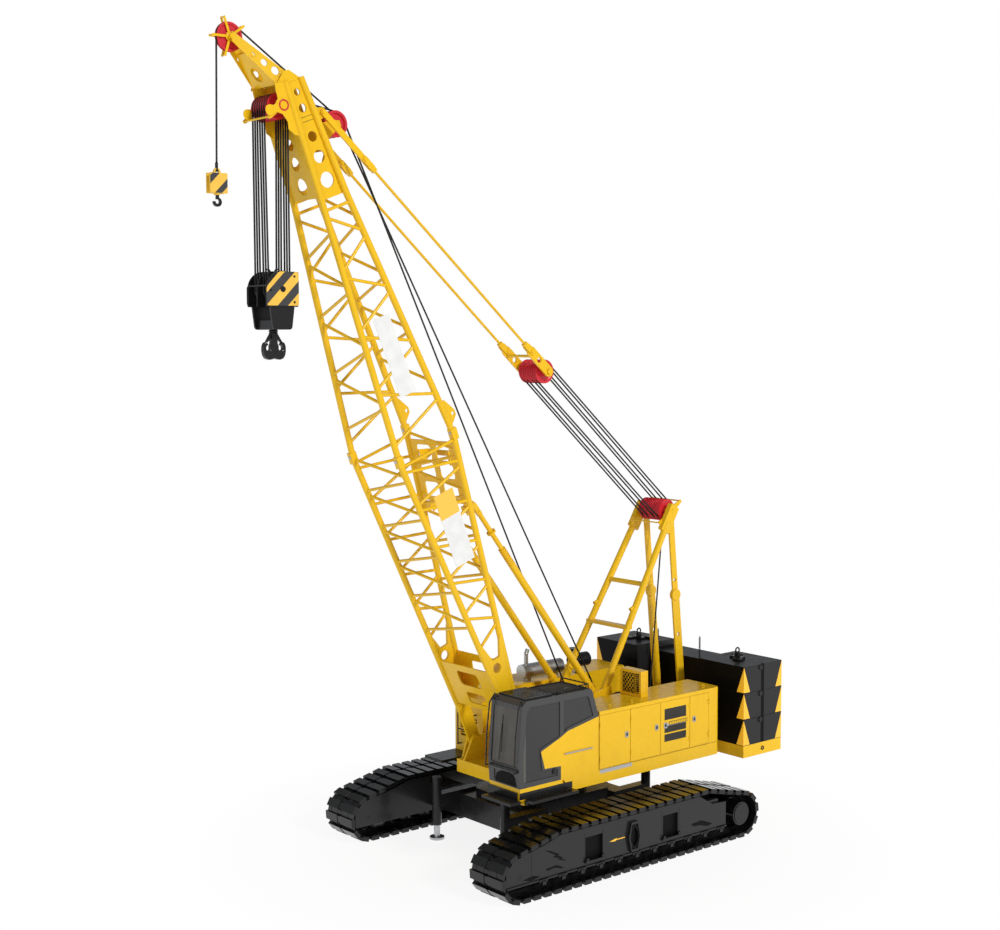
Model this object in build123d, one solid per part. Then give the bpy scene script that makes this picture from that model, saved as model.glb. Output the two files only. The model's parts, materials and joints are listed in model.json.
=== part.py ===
"""Crawler crane with a lattice boom.

X points forward along the tracks, Y to the left (the cab's side), Z up.
The origin is the slewing centre on the ground.  All lengths are in
millimetres and all angles in degrees.  The upper works stand in line with
the tracks, and the boom at its working angle.
"""
from build123d import *
from math import acos, atan2, cos, degrees, hypot, pi, radians, sin
import os

# ------------------------------------------------------------------ sizes
# Tracks
track_gauge = 4650              # between the two track centre planes
shoe_width = 910
end_radius = 470                # outside of the loop round its end wheels
wheelbase = 5860                # between idler and sprocket centres
upper_run_height = 1170
bend_spacing = 3900             # between the two bends of the upper run
bend_radius = 350
shoe_count = 58
cleat_height = 55
cleat_gap = 80
cleat_row_width = 400
shoe_thickness = 32
chain_height = 62
chain_width = 280

# End wheels and rollers
wheel_clearance = 2
wheel_width = 250
wheel_hub_radius = 150
wheel_rim = 70
wheel_web = 90
sprocket_teeth = 18
tooth_height = 34
tooth_width = 120
tooth_thickness = 64
axle_radius = 60
axle_clearance = 0.05
hub_radius = 235
hub_reach = 395                 # from the track's centre plane to the hub's cover
roller_radius = 115
roller_count = 9
roller_pitch = 470
roller_width = 330
roller_pin_radius = 35
carrier_radius = 55
carrier_count = 3
carrier_pitch = 1500

# Track frames
frame_width = 750
frame_plate = 60
frame_bottom = 300
frame_top = 1040
core_bottom = 395
core_top = 880
core_half_length = wheelbase / 2 - 600
plate_end = wheelbase / 2 + 320   # front end of a side plate
plate_rear = wheelbase / 2 - 430  # rear end of the outer side plate
ledge_width = 26
ledge_height = 30
step_reach = 60
motor_radius = 170
motor_reach = 260

# Car body
body_half_length = 1150
body_half_width = 980
body_bottom = 480
body_top = 1010
body_corner = 260
beam_spacing = 2300             # between the two cross beams
beam_width = 480
beam_bottom = 430
beam_top = 900
ring_radius = 900
ring_bottom_height = 170
ring_gap = 0.3

# Car body jacks
jack_x = 1885
jack_y = 1060
jack_arm_width = 220
jack_arm_bottom = 700
jack_arm_top = 960
jack_tube_radius = 95
jack_tube_bottom = 330
jack_tube_top = 1300
jack_rod_radius = 62
jack_rod_clearance = 0.1
jack_pad_radius = 150
jack_pad_thickness = 45
jack_pad_bottom = 40

# Revolving frame
deck_bottom = 1380
deck_top = 1640
deck_front = 1500
deck_rear = -3560
deck_half_width = 890
girder_y = 700
girder_thickness = 50
girder_top = 2080

# Boom, measured along the line from the foot pins and square to it
boom_angle = 69.2
foot_x = 1128
foot_z = 1979
foot_pin_radius = 60
pin_clearance = 0.05
foot_plate_y = 800
foot_plate_thickness = 60
ear_gap = 12
ear_thickness = 45
chord_diameter = 121
lacing_diameter = 58
section_lug_width = 128
section_lug_length = 110
lacing_seat = 34                # where a lacing stops, from its chord's axis
lacing_gap = 52                 # from a lacing's end to its node on the chord
boom_joint = 6500
joint_gap = 0.3
# Section table: along the boom, half width, front depth, rear depth
# (chord centres)
base_low = (760, 798, 102, -102)
base_high = (boom_joint, 726, 659, -659)
top_high = (11270, 442, 340, -200)
base_panels = 5
# Board table: low end, high end, rear edge, front edge
board_table = ((7550, 9030, -175, 190), (4170, 5600, -250, 210))
board_thickness = 6
top_panels = 4

# Boom head
head_plate_thickness = 30
head_top = 13350
head_half_width = 415
head_front = 290
head_rear = -40
# Hole table of the head's side plates: along, depth, radius
head_holes = ((11578, 75, 138), (11996, 85, 112), (12352, 95, 90), (12851, 110, 76), (13132, 120, 62))
keeper_reach = 330
guide_arm_y = 175
guide_axle_radius = 40
guide_roller_depth = -900
lug_pin_radius = 32
tip_root_rear = 60
tip_root_front = 330
tip_root_half = 390
tip_plate = 20
tip_end_half = 120
# Hole table of the extension's side plates: along, depth, radius
tip_holes = ((13570, 350, 72), (13750, 480, 60), (13920, 615, 46))
main_axle_along = 13000
main_axle_depth = 472
main_sheave_radius = 262
main_sheave_count = 7
main_sheave_pitch = 84
main_axle_radius = 55
guide_drop = 960                # from the head's top down to the guide sheaves' axle
guide_along = head_top - guide_drop
guide_depth = -640
guide_radius = 235
guide_count = 2
guide_pitch = 150
tip_along = 14308
tip_depth = 814
tip_sheave_radius = 282
tip_sheave_width = 70
tip_axle_radius = 45
sheave_clearance = 0.05
cable_radius = 13

# Hooks
block_half_width = 320          # along X
block_cheek_span = 330          # half of the block across Y
block_axle_height = 10880
block_cheek_top = block_axle_height + 300
block_cheek_bottom = block_axle_height - 300
block_taper_bottom = block_axle_height - 690
block_sheave_radius = 250
block_sheave_pitch = 80
hook_bottom = block_axle_height - 1200
tip_block_top = 12800
tip_block_bottom = tip_block_top - 340
tip_block_half = 165
tip_hook_bottom = tip_block_top - 560

# Pendants and luffing gear
lug_along = 12670
lug_depth = -300
pendant_y = 370
pendant_link_length = 1130
link_plate = 36
fork_plate = 22
pendant_diameter = 52
bail_reach = 6300               # from the lug pin to the link pins
bail_axle_reach = 6900
bail_sheave_radius = 235
bail_sheave_count = 10
bail_sheave_pitch = 52
bail_plate_y = 300

# Winches and deck gear
drum_xs = (-650, -1650, -2650)
drum_height = 2080
drum_radius = 260
drum_flange = 360
drum_shaft_radius = 80
muffler_y = -1100

# Houses
house_side = 1850
house_inner = 950
house_top = 2880
house_front = 170
house_rear = -3225
house_wall = 40
house_floor = 1478
outrigger_inset = 300           # from the house side to the ends of the beams under it
outrigger_depth = 80
house_corner = 80
skirt_front_low = 860
skirt_front_high = 1120
right_house_front = 780
door_bottom = 1755
door_top = 2800
door_gap = 6
door_thickness = 38
hinge_out = 12                  # from the house side to a hinge's axis
hinge_past = 3                  # from a door's edge to its hinge's axis
hinge_radius = 6.5
hinge_pin_radius = 3.5
hinge_inset = 190
vent_inset = 130

# Cab
cab_front = 2184
cab_rear = 190
cab_inner = 965
cab_bottom = 1735
cab_top = 3360
cab_wall = 60
cab_nose = 2215                 # the front's foremost line
cab_nose_height = 2200
cab_roof_front = 2080
cab_roof_rear = 370
cab_waist_rear = 2800
cab_corner = 90
glass_thickness = 8
glass_gap = 0.3
cab_frame_height = 85
cab_frame_width = 90
guard_diameter = 28
rail_reach = 95
visor_height = 34
visor_slats = 15
visor_slat_thickness = 10

# Counterweight
weight_front = -3590
weight_rear = -4770
weight_half_width = 2193
stack_inner = 920
tray_bottom = 1374
tray_height = 252
slab_top = 3280
slab_count = 3
slab_gap = 0.3
centre_drop = 130
rib_x = -4170
rib_slot_width = 60
rib_slot_depth = 45

# Gantry
gantry_foot_x = -1130
gantry_foot_z = 2900
gantry_foot_y = 610
gantry_head_x = -3245
gantry_head_z = 6400
gantry_head_y = 455
gantry_leg = 138
gantry_eye_thickness = 90
cheek_block_width = 250
cheek_block_thickness = 110
gantry_axle_radius = 60
gantry_sheave_radius = 230
gantry_sheave_count = 10
gantry_sheave_pitch = 62
link_y = 362
link_knee_x = -3455
link_knee_z = 4580
link_foot_x = -3700
link_foot_z = 2050
link_thickness = 40
link_width = 210

# Backstops
backstop_foot_x = -905
backstop_foot_z = 2850
backstop_y = 560
backstop_eye_along = 5000
backstop_eye_depth = -740
backstop_tube_length = 3600
backstop_rod_start = 760
backstop_eye_thickness = 60
backstop_pin_radius = 35
backstop_travel = 420           # how far the collar stands off the spring at rest
spring_ribs = 7
spring_pitch = 55
backstop_tube_radius = 72
backstop_rod_radius = 48


# ---------------------------------------------------------------- helpers
def box(x, y, z):
    """A box between three (low, high) pairs."""
    size = [high - low for low, high in (x, y, z)]
    corner = (x[0], y[0], z[0])
    return Pos(*corner) * Box(*size, align=(Align.MIN, Align.MIN, Align.MIN))


def rod(start, end, diameter, seam=None):
    """A round bar between two points; its seam faces the way given, if any."""
    start = Vector(start)
    span = Vector(end) - start
    if seam is None:
        plane = Plane(origin=start, z_dir=span)
    else:
        across = span.cross(Vector(seam))
        plane = Plane(origin=start, x_dir=across.cross(span), z_dir=span)
    return Solid.make_cylinder(diameter / 2, span.length, plane)


def cross_rod(x, y, z, radius, length):
    """A round bar along Y, centred on the point."""
    return rod((x, y - length / 2, z), (x, y + length / 2, z), 2 * radius)


def side_plate(points, y_low, y_high):
    """An outline in the XZ plane, between two Y values."""
    face = make_face(Polyline(*points, close=True))
    profile = Plane(origin=(0, y_low, 0), x_dir=(1, 0, 0), z_dir=(0, -1, 0)) * face
    return extrude(profile, amount=-(y_high - y_low))


def end_plate(points, x_low, x_high):
    """An outline in the YZ plane, between two X values."""
    face = make_face(Polyline(*points, close=True))
    return extrude(
        Plane(origin=(x_low, 0, 0), x_dir=(0, 1, 0), z_dir=(1, 0, 0)) * face, amount=x_high - x_low,
    )


def span(side, near, far):
    """A (low, high) pair from two distances on one side of the middle."""
    return tuple(sorted((side * near, side * far)))


def square_bar(start, end, width, thickness):
    """A square bar between two points, its thickness level with Y."""
    start, end = Vector(start), Vector(end)
    run = end - start
    plane = Plane(origin=start, x_dir=(run.cross(Vector(0, 1, 0))), z_dir=run)
    return extrude(plane * Rectangle(width, thickness), amount=run.length)


def joined(shapes):
    """One body from pieces that touch or overlap."""
    solids = [solid for shape in shapes for solid in shape.solids()]
    return solids[0].fuse(*solids[1:])


nodes = {}


def keep(name, shapes):
    """Store one node, from one shape or from a list of separate ones."""
    if not isinstance(shapes, (list, tuple)):
        shapes = [shapes]
    solids = [solid for shape in shapes for solid in shape.solids()]
    nodes[name] = solids[0] if len(solids) == 1 else Compound(children=solids)


# ------------------------------------------------------------------ tracks
def loop_parts(inset):
    """Bends and straights of the track loop, this far inside its outline."""
    circles = (
        (wheelbase / 2, end_radius, end_radius),
        (bend_spacing / 2, upper_run_height - bend_radius, bend_radius),
        (-bend_spacing / 2, upper_run_height - bend_radius, bend_radius),
        (-wheelbase / 2, end_radius, end_radius),
    )
    normals = []
    for index, (x, z, radius) in enumerate(circles):
        next_x, next_z, next_radius = circles[(index + 1) % 4]
        reach = hypot(next_x - x, next_z - z)
        normals.append(atan2(next_z - z, next_x - x) - acos((radius - next_radius) / reach))
    parts = []
    for index, (x, z, radius) in enumerate(circles):
        start = normals[index - 1]
        sweep = (normals[index] - start) % (2 * pi)
        radius -= inset
        parts.append(("bend", (x, z), radius, start, sweep))
        next_x, next_z, next_radius = circles[(index + 1) % 4]
        out = (cos(normals[index]), sin(normals[index]))
        low = (x + radius * out[0], z + radius * out[1])
        high = (next_x + (next_radius - inset) * out[0], next_z + (next_radius - inset) * out[1])
        parts.append(("run", low, high, normals[index]))
    return parts


def part_length(part):
    if part[0] == "bend":
        return part[2] * part[4]
    return hypot(part[2][0] - part[1][0], part[2][1] - part[1][1])


def loop_place(parts, distance):
    """Point on the loop and the angle of its outward normal."""
    for part in parts:
        length = part_length(part)
        if distance <= length:
            break
        distance -= length
    if part[0] == "bend":
        _, (x, z), radius, start, _ = part
        turn = start + distance / radius
        return x + radius * cos(turn), z + radius * sin(turn), turn
    _, low, high, normal = part
    share = distance / length
    return low[0] + share * (high[0] - low[0]), low[1] + share * (high[1] - low[1]), normal


def loop_face(inset):
    edges = []
    for part in loop_parts(inset):
        if part[0] == "bend":
            _, centre, radius, start, sweep = part
            edges.append(CenterArc(centre, radius, degrees(start), degrees(sweep)))
        else:
            edges.append(Line(part[1], part[2]))
    return make_face(edges)


def in_side_view(sketch, y_low, y_high):
    profile = Plane(origin=(0, y_low, 0), x_dir=(1, 0, 0), z_dir=(0, -1, 0)) * sketch
    return extrude(profile, amount=-(y_high - y_low))


def track_loop():
    """One track on the plane Y = 0: shoes with two rows of cleats, on a chain."""
    shoe_face = cleat_height + shoe_thickness
    parts = loop_parts(cleat_height)
    lap = sum(part_length(part) for part in parts)
    half_cleat = (lap / shoe_count - cleat_gap) / 2
    root = -shoe_thickness / 4
    points = []
    for index in range(shoe_count):
        x, z, normal = loop_place(parts, (index + 0.5) * lap / shoe_count)
        out = (cos(normal), sin(normal))
        along = (-out[1], out[0])
        for run, rise in (
            (-half_cleat, root), (-half_cleat, cleat_height), (half_cleat, cleat_height), (half_cleat, root),
        ):
            points.append((x + run * along[0] + rise * out[0], z + run * along[1] + rise * out[1]))
    under = loop_face(shoe_face)
    cleated = make_face(Polyline(*points, close=True)) - under
    plain = loop_face(cleat_height) - under
    chain = loop_face(shoe_face - shoe_thickness / 2) - loop_face(shoe_face + chain_height)
    edge = shoe_width / 2
    inner = edge - cleat_row_width
    rows = [in_side_view(cleated, -edge, -inner), in_side_view(cleated, inner, edge)]
    rows.append(in_side_view(plain, -inner, inner))
    rows.append(in_side_view(chain, -chain_width / 2, chain_width / 2))
    return joined(rows)


def end_wheel(radius):
    wheel = cross_rod(0, 0, 0, radius, wheel_width)
    waist = cross_rod(
        0, 0, 0, radius - wheel_rim, wheel_width,
    ) - cross_rod(0, 0, 0, wheel_hub_radius, wheel_width)
    for side in (-1, 1):
        wheel -= Pos(0, side * (wheel_width + wheel_web) / 2, 0) * waist
    return wheel


def sprocket(radius):
    wheel = end_wheel(radius - tooth_height)
    teeth = []
    for index in range(sprocket_teeth):
        root = radius - tooth_height - wheel_rim / 3
        tooth = box(
            (root, radius), (-tooth_width / 2, tooth_width / 2), (-tooth_thickness / 2, tooth_thickness / 2),
        )
        teeth.append(Rot(0, 360 * index / sprocket_teeth, 0) * tooth)
    return joined([wheel] + teeth)


def plate_outline(rear_points):
    """The side plates' front half, closed by the given rear points."""
    front = [
        (plate_end - 15, frame_bottom), (plate_end, frame_bottom + 120), (plate_end - 15, end_radius + 170),
        (plate_end - 160, 800), (plate_end - 610, 872), (plate_end - 950, 940),
        (bend_spacing / 2 - 20, frame_top),
    ]
    return front + rear_points


def track_frame(side):
    """Two side plates on a box beam, open at the ends for the wheels."""
    centre = side * track_gauge / 2
    outer = side * (track_gauge + frame_width) / 2
    inner = side * (track_gauge - frame_width) / 2
    outer_points = plate_outline([
        (-bend_spacing / 2 + 210, frame_top), (-bend_spacing / 2 - 160, 822),
        (-plate_rear, 800), (-plate_rear, frame_bottom),
    ])
    inner_points = plate_outline([(-x, z) for x, z in reversed(plate_outline([]))])
    skin = side * frame_plate
    outer_plate = side_plate(outer_points, *sorted((outer - skin, outer)))
    for x, length in ((1110, 460), (-915, 410)):
        y = sorted((outer - skin - 5, outer + 5))
        outer_plate -= box((x - length / 2, x + length / 2), y, (core_bottom + 5, core_top - 20))
    inner_plate = side_plate(inner_points, *sorted((inner, inner + skin)))
    core = box(
        (-core_half_length, core_half_length), sorted((inner + skin, outer - skin)), (core_bottom, core_top),
    )
    ledge = box(
        (-plate_rear, plate_end - 15), sorted((outer, outer + side * ledge_width)),
        (frame_bottom, frame_bottom + ledge_height),
    )
    ring = [(10, 925), (190, 925), (260, 640), (190, 355), (10, 355), (-60, 640)]
    hole = [(25, 880), (175, 880), (225, 640), (175, 400), (25, 400), (-25, 640)]
    step_y = sorted((outer, outer + side * step_reach))
    step = side_plate(ring, *step_y) - side_plate(hole, step_y[0] - 5, step_y[1] + 5)
    frame = joined([core, outer_plate, inner_plate, ledge, step])
    for end in (-1, 1):
        frame -= cross_rod(
            end * wheelbase / 2, centre, end_radius, axle_radius + axle_clearance, frame_width + 20,
        )
    return frame


def build_tracks():
    tread = cleat_height + shoe_thickness + chain_height
    wheel_radius = end_radius - tread - wheel_clearance
    idlers = []
    sprockets = []
    rollers = []
    drives = []
    for name, side in (("left", 1), ("right", -1)):
        centre = side * track_gauge / 2
        keep(f"track_{name}", Pos(0, centre, 0) * track_loop())
        keep(f"track_frame_{name}", track_frame(side))
        wheel = joined([end_wheel(wheel_radius), cross_rod(0, 0, 0, axle_radius, frame_width)])
        idlers.append(Pos(wheelbase / 2, centre, end_radius) * wheel)
        hub_start = side * wheel_web / 4
        hub = rod((0, hub_start, 0), (0, side * hub_reach, 0), 2 * hub_radius)
        cover = rod((0, side * (hub_reach - 10), 0), (0, side * (hub_reach + 12), 0), 2 * hub_radius - 70)
        shaft = rod((0, 0, 0), (0, -side * frame_width / 2, 0), 2 * axle_radius)
        wheel = joined([sprocket(wheel_radius), hub, cover, shaft])
        sprockets.append(Pos(-wheelbase / 2, centre, end_radius) * wheel)
        within = centre - side * (frame_width / 2 + joint_gap)
        drives.append(
            cross_rod(-wheelbase / 2, within - side * motor_reach / 2, end_radius, motor_radius, motor_reach)
        )
        between = frame_width - 2 * frame_plate - 2 * joint_gap
        for index in range(roller_count):
            x = (index - (roller_count - 1) / 2) * roller_pitch
            z = tread + wheel_clearance + roller_radius
            roller = cross_rod(x, centre, z, roller_radius, roller_width)
            rollers.append(joined([roller, cross_rod(x, centre, z, roller_pin_radius, between)]))
        for index in range(carrier_count):
            x = (index - (carrier_count - 1) / 2) * carrier_pitch
            z = upper_run_height - tread - wheel_clearance - carrier_radius
            rollers.append(cross_rod(x, centre, z, carrier_radius, between))
    keep("idlers", idlers)
    keep("sprockets", sprockets)
    keep("track_rollers", rollers)
    keep("track_drives", drives)


# ---------------------------------------------------------------- car body
def build_car_body():
    half, wide, cut_back = body_half_length, body_half_width, body_corner
    outline = [
        (half, wide - cut_back), (half - cut_back, wide), (cut_back - half, wide), (-half, wide - cut_back),
        (-half, cut_back - wide), (cut_back - half, -wide), (half - cut_back, -wide), (half, cut_back - wide),
    ]
    core = extrude(
        Pos(0, 0, body_bottom) * make_face(Polyline(*outline, close=True)), amount=body_top - body_bottom,
    )
    beam_end = (track_gauge - frame_width) / 2
    beams = []
    for side in (-1, 1):
        x = side * beam_spacing / 2
        beam = box((x - beam_width / 2, x + beam_width / 2), (-beam_end, beam_end), (beam_bottom, beam_top))
        beams.append(beam)
    ring = Pos(0, 0, body_top) * Cylinder(
        ring_radius, ring_bottom_height, align=(Align.CENTER, Align.CENTER, Align.MIN),
    )
    arms = []
    holes = []
    for x_side in (-1, 1):
        for y_side in (-1, 1):
            x = sorted((x_side * (half - cut_back), x_side * jack_x))
            y = y_side * jack_y
            arms.append(
                box(x, (y - jack_arm_width / 2, y + jack_arm_width / 2), (jack_arm_bottom, jack_arm_top))
            )
            spot = (x_side * jack_x, y)
            arms.append(rod((*spot, jack_tube_bottom), (*spot, jack_tube_top), 2 * jack_tube_radius))
            bore = jack_rod_radius + jack_rod_clearance
            holes.append(rod((*spot, jack_tube_bottom - 1), (*spot, jack_tube_top - 40), 2 * bore))
    body = joined([core, ring] + beams + arms)
    for hole in holes:
        body = body - hole
    keep("car_body", body)
    for name, x_side, y_side in (
        ("front_left", 1, 1), ("front_right", 1, -1), ("rear_left", -1, 1), ("rear_right", -1, -1),
    ):
        spot = (x_side * jack_x, y_side * jack_y)
        shaft = rod((*spot, jack_pad_bottom), (*spot, jack_tube_top - 60), 2 * jack_rod_radius)
        pad = rod(
            (*spot, jack_pad_bottom), (*spot, jack_pad_bottom + jack_pad_thickness), 2 * jack_pad_radius,
        )
        keep(f"jack_{name}", joined([shaft, pad]))


# ------------------------------------------------------------ upper works
def build_deck():
    ring_top = body_top + ring_bottom_height + ring_gap
    ring = Pos(0, 0, ring_top) * Cylinder(
        ring_radius, deck_bottom - ring_top, align=(Align.CENTER, Align.CENTER, Align.MIN),
    )
    deck = box((deck_rear, deck_front), (-deck_half_width, deck_half_width), (deck_bottom, deck_top))
    deck = deck + box((link_foot_x - 120, deck_rear), (-450, 450), (deck_bottom, deck_top))
    deck = deck + box(
        (weight_front + joint_gap, deck_rear), (-deck_half_width, deck_half_width),
        (deck_bottom + 30, deck_top - 30),
    )
    girders = []
    outline = [
        (deck_rear, deck_top), (deck_front, deck_top), (foot_x + 170, foot_z + 40), (foot_x + 60, foot_z + 110),
        (foot_x - 90, foot_z + 110), (backstop_foot_x + 260, backstop_foot_z - 300),
        (backstop_foot_x + 130, backstop_foot_z + 60), (gantry_foot_x - 110, gantry_foot_z + 90),
        (gantry_foot_x - 300, girder_top), (deck_rear, girder_top),
    ]
    for side in (-1, 1):
        y = sorted((side * girder_y, side * (girder_y - girder_thickness)))
        girders.append(side_plate(outline, *y))
        inner_ear = foot_plate_y - foot_plate_thickness / 2 - ear_gap
        girders.append(
            cross_rod(foot_x, side * (girder_y + inner_ear) / 2, foot_z, 140, inner_ear - girder_y)
        )
        outer_ear = foot_plate_y + foot_plate_thickness / 2 + ear_gap
        y = sorted((side * outer_ear, side * (outer_ear + ear_thickness)))
        ear = [
            (foot_x - 260, deck_top - 20), (foot_x + 260, deck_top - 20), (foot_x + 120, foot_z + 110),
            (foot_x - 120, foot_z + 110),
        ]
        girders.append(side_plate(ear, *y))
        pin_end = side * (outer_ear + ear_thickness + 20)
        girders.append(rod((foot_x, side * girder_y, foot_z), (foot_x, pin_end, foot_z), 2 * foot_pin_radius))
        link_ear = sorted(
            (side * (link_y - link_thickness / 2 - 0.3), side * (link_y - link_thickness / 2 - 40.3))
        )
        rear = [
            (link_foot_x - 110, deck_top - 20), (link_foot_x + 300, deck_top - 20),
            (link_foot_x + 110, link_foot_z + 110), (link_foot_x - 110, link_foot_z + 110),
        ]
        girders.append(side_plate(rear, *link_ear))
        inner = link_y - link_thickness / 2 - 40.3
        outer = link_y + link_thickness / 2 + 30
        girders.append(
            rod((link_foot_x, side * inner, link_foot_z), (link_foot_x, side * outer, link_foot_z), 100)
        )
        pin_inner = side * (backstop_y - backstop_eye_thickness / 2 - 20)
        pin_start = (backstop_foot_x, side * girder_y, backstop_foot_z)
        girders.append(rod(pin_start, (backstop_foot_x, pin_inner, backstop_foot_z), 2 * backstop_pin_radius))
    skirt_inner = house_side - house_wall - joint_gap
    frame_top = cab_bottom - joint_gap
    for x in (-2950, -2100, -1250, -350):
        y = (-house_side + outrigger_inset, house_side - outrigger_inset)
        girders.append(box((x - 60, x + 60), y, (house_floor - outrigger_depth, house_floor - joint_gap)))
    rail_y = (skirt_inner - 60, skirt_inner)
    above_skirt = house_floor + 20
    for x, low in ((320, above_skirt), (1150, deck_bottom + 20), (2000, deck_bottom + 20)):
        girders.append(box((x - 60, x + 60), (deck_half_width - 10, skirt_inner), (low, frame_top)))
    girders.append(box((320, skirt_front_high), rail_y, (above_skirt, frame_top)))
    girders.append(box((skirt_front_high, 2060), rail_y, (deck_bottom + 20, frame_top)))
    band = (frame_top - cab_frame_height, frame_top)
    front = (cab_front - cab_frame_width, cab_front - 5)
    girders.append(
        box((skirt_front_high + 5, cab_front - 5), (house_side - cab_frame_width, house_side), band)
    )
    girders.append(box(front, (cab_inner, house_side), band))
    girders.append(box(front, (house_side - cab_frame_width, house_side), (house_floor + 30, frame_top)))
    girders.append(
        box((1450, 2060), (deck_half_width - 60, deck_half_width + 30), (deck_bottom + 20, deck_top - 10))
    )
    keep("revolving_frame", joined([ring, deck] + girders))


def house_shell(side, front):
    """Outer walls, roof and floor of one machinery house, open for its doors."""
    y = span(side, house_inner, house_side)
    shell = box((house_rear, front), y, (house_floor, house_top))
    rear_edges = shell.edges().filter_by(Axis.Z).sort_by(Axis.X)[:2]
    outer_edge = [edge for edge in rear_edges if abs(edge.center().Y) > house_side - 10]
    shell = fillet(outer_edge, house_corner)
    y = span(side, house_inner + house_wall, house_side - house_wall)
    room = box(
        (house_rear + house_wall, front - house_wall), y, (house_floor + house_wall, house_top - house_wall),
    )
    edges = room.edges().filter_by(Axis.Z).sort_by(Axis.X)[:2]
    inner_edge = [edge for edge in edges if abs(edge.center().Y) > house_side - house_wall - 10]
    return shell - fillet(inner_edge, house_corner - house_wall)


# Door table: name, front edge, rear edge, hinge at the front
door_table = (
    ("a", 158, -658, True),
    ("b", -672, -1495, True),
    ("c", -1509, -2340, False),
    ("d", -2354, -2900, False),
)
# Vent table: bottom, top, cut through
vent_table = (
    (2440, 2620, True),
    (2290, 2345, False),
    (2165, 2235, True),
    (1990, 2095, True),
)


def vented(door, front, rear, side):
    """A door with its vents cut, and a slat left across each opening."""
    high, low = front - vent_inset, rear + vent_inset
    for bottom, top, through in vent_table:
        depth = door_thickness + 1 if through else door_thickness / 3
        door -= box((low, high), span(side, house_side - depth, house_side + 1), (bottom, top))
        if through:
            middle = (bottom + top) / 2
            slat_y = span(side, house_side - door_thickness * 0.8, house_side - door_thickness * 0.4)
            door += box((low - 1, high + 1), slat_y, (middle - 8, middle + 8))
    return door


def upright(x, y, z, radius, height):
    return Pos(x, y, z) * Cylinder(radius, height)


def door_knuckle(edge, way, side, z):
    """The door's part of one hinge, bored for the house's pin."""
    x, y = edge + way * hinge_past, side * (house_side + hinge_out)
    arm = box(
        sorted((x, edge - way * 30)), span(side, house_side - 2, house_side + hinge_out), (z - 30, z + 30),
    )
    knuckle = upright(x, y, z, hinge_radius, 60) + arm
    return knuckle - upright(x, y, z, hinge_pin_radius + pin_clearance, 80)


def house_knuckles(edge, way, side, z):
    """The house's part: a pin, and a knuckle above and below the door's."""
    x, y = edge + way * hinge_past, side * (house_side + hinge_out)
    pieces = [upright(x, y, z, hinge_pin_radius, 100)]
    for low in (z - 50, z + 30.5):
        pieces.append(upright(x, y, low + 9.75, hinge_radius, 19.5))
        web = sorted((edge + way * door_gap, edge + way * (door_gap + 2)))
        pieces.append(box(web, span(side, house_side - 3, house_side + hinge_out), (low, low + 19.5)))
    return joined(pieces)


def build_houses():
    for name, side, front in (("left", 1, house_front), ("right", -1, right_house_front)):
        shell = house_shell(side, front)
        for letter, front_edge, rear_edge, hinge_front in door_table:
            opening = span(side, house_side - house_wall - 1, house_side + 1)
            shell -= box(
                (rear_edge - door_gap, front_edge + door_gap), opening,
                (door_bottom - door_gap, door_top + door_gap),
            )
            slab = span(side, house_side - door_thickness, house_side)
            door = box((rear_edge, front_edge), slab, (door_bottom, door_top))
            if letter == "c":
                door = vented(door, front_edge, rear_edge, side)
            for z in (door_bottom + hinge_inset, door_top - hinge_inset):
                edge, way = (front_edge, 1) if hinge_front else (rear_edge, -1)
                door = door + door_knuckle(edge, way, side, z)
                shell = shell + house_knuckles(edge, way, side, z)
            keep(f"door_{name}_{letter}", door)
        if side > 0:
            skirt = [
                (front - 1, house_floor), (skirt_front_low, house_floor),
                (skirt_front_high, cab_bottom - joint_gap), (front - 1, cab_bottom - joint_gap),
            ]
            shell += side_plate(skirt, house_side - house_wall, house_side)
        else:
            for z in (1900, 2060, 2220):
                y = span(side, house_inner + 180, house_side - 180)
                shell -= box((front - house_wall - 1, front + 1), y, (z - 45, z + 45))
                shell += box(
                    (front - house_wall, front - house_wall / 2), (y[0] - 1, y[1] + 1), (z - 12, z + 12),
                )
        keep(f"house_{name}", shell)


# Outlines of the cab's left side, from the foot of each going round
cab_panel_outline = (
    (cab_rear, cab_bottom), (1166, cab_bottom), (1166, 2000), (1569, 2014),
    (1667, 2354), (1191, 2539), (988, 2640), (cab_rear, cab_waist_rear - 4),
)
door_glass_outline = (
    (1190, 2570), (1680, 2400), (1640, 1990), (1250, 1960), (1250, 1830), (2085, 1830),
    (2100, 2230), (2010, 3150), (1940, 3230), (1190, 3230),
)
rear_glass_outline = (
    (1090, 2625), (1090, 3230), (480, 3230), (440, 3180), (330, 2830), (990, 2695),
)
cab_outline = (
    (cab_rear, cab_bottom), (cab_front, cab_bottom), (cab_nose, cab_nose_height), (
        cab_roof_front + 40, cab_top - 90,
    ),
    (cab_roof_front - 50, cab_top), (cab_roof_rear + 30, cab_top), (
        cab_roof_rear - 10, cab_top - 40,
    ), (cab_rear, cab_waist_rear),
)


def inset_outline(points, amount):
    """An outline moved inwards by the amount."""
    return offset(make_face(Polyline(*points, close=True)), amount=-amount, kind=Kind.INTERSECTION)


def side_slab(sketch, y_low, y_high):
    return in_side_view(sketch, y_low, y_high)


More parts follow.
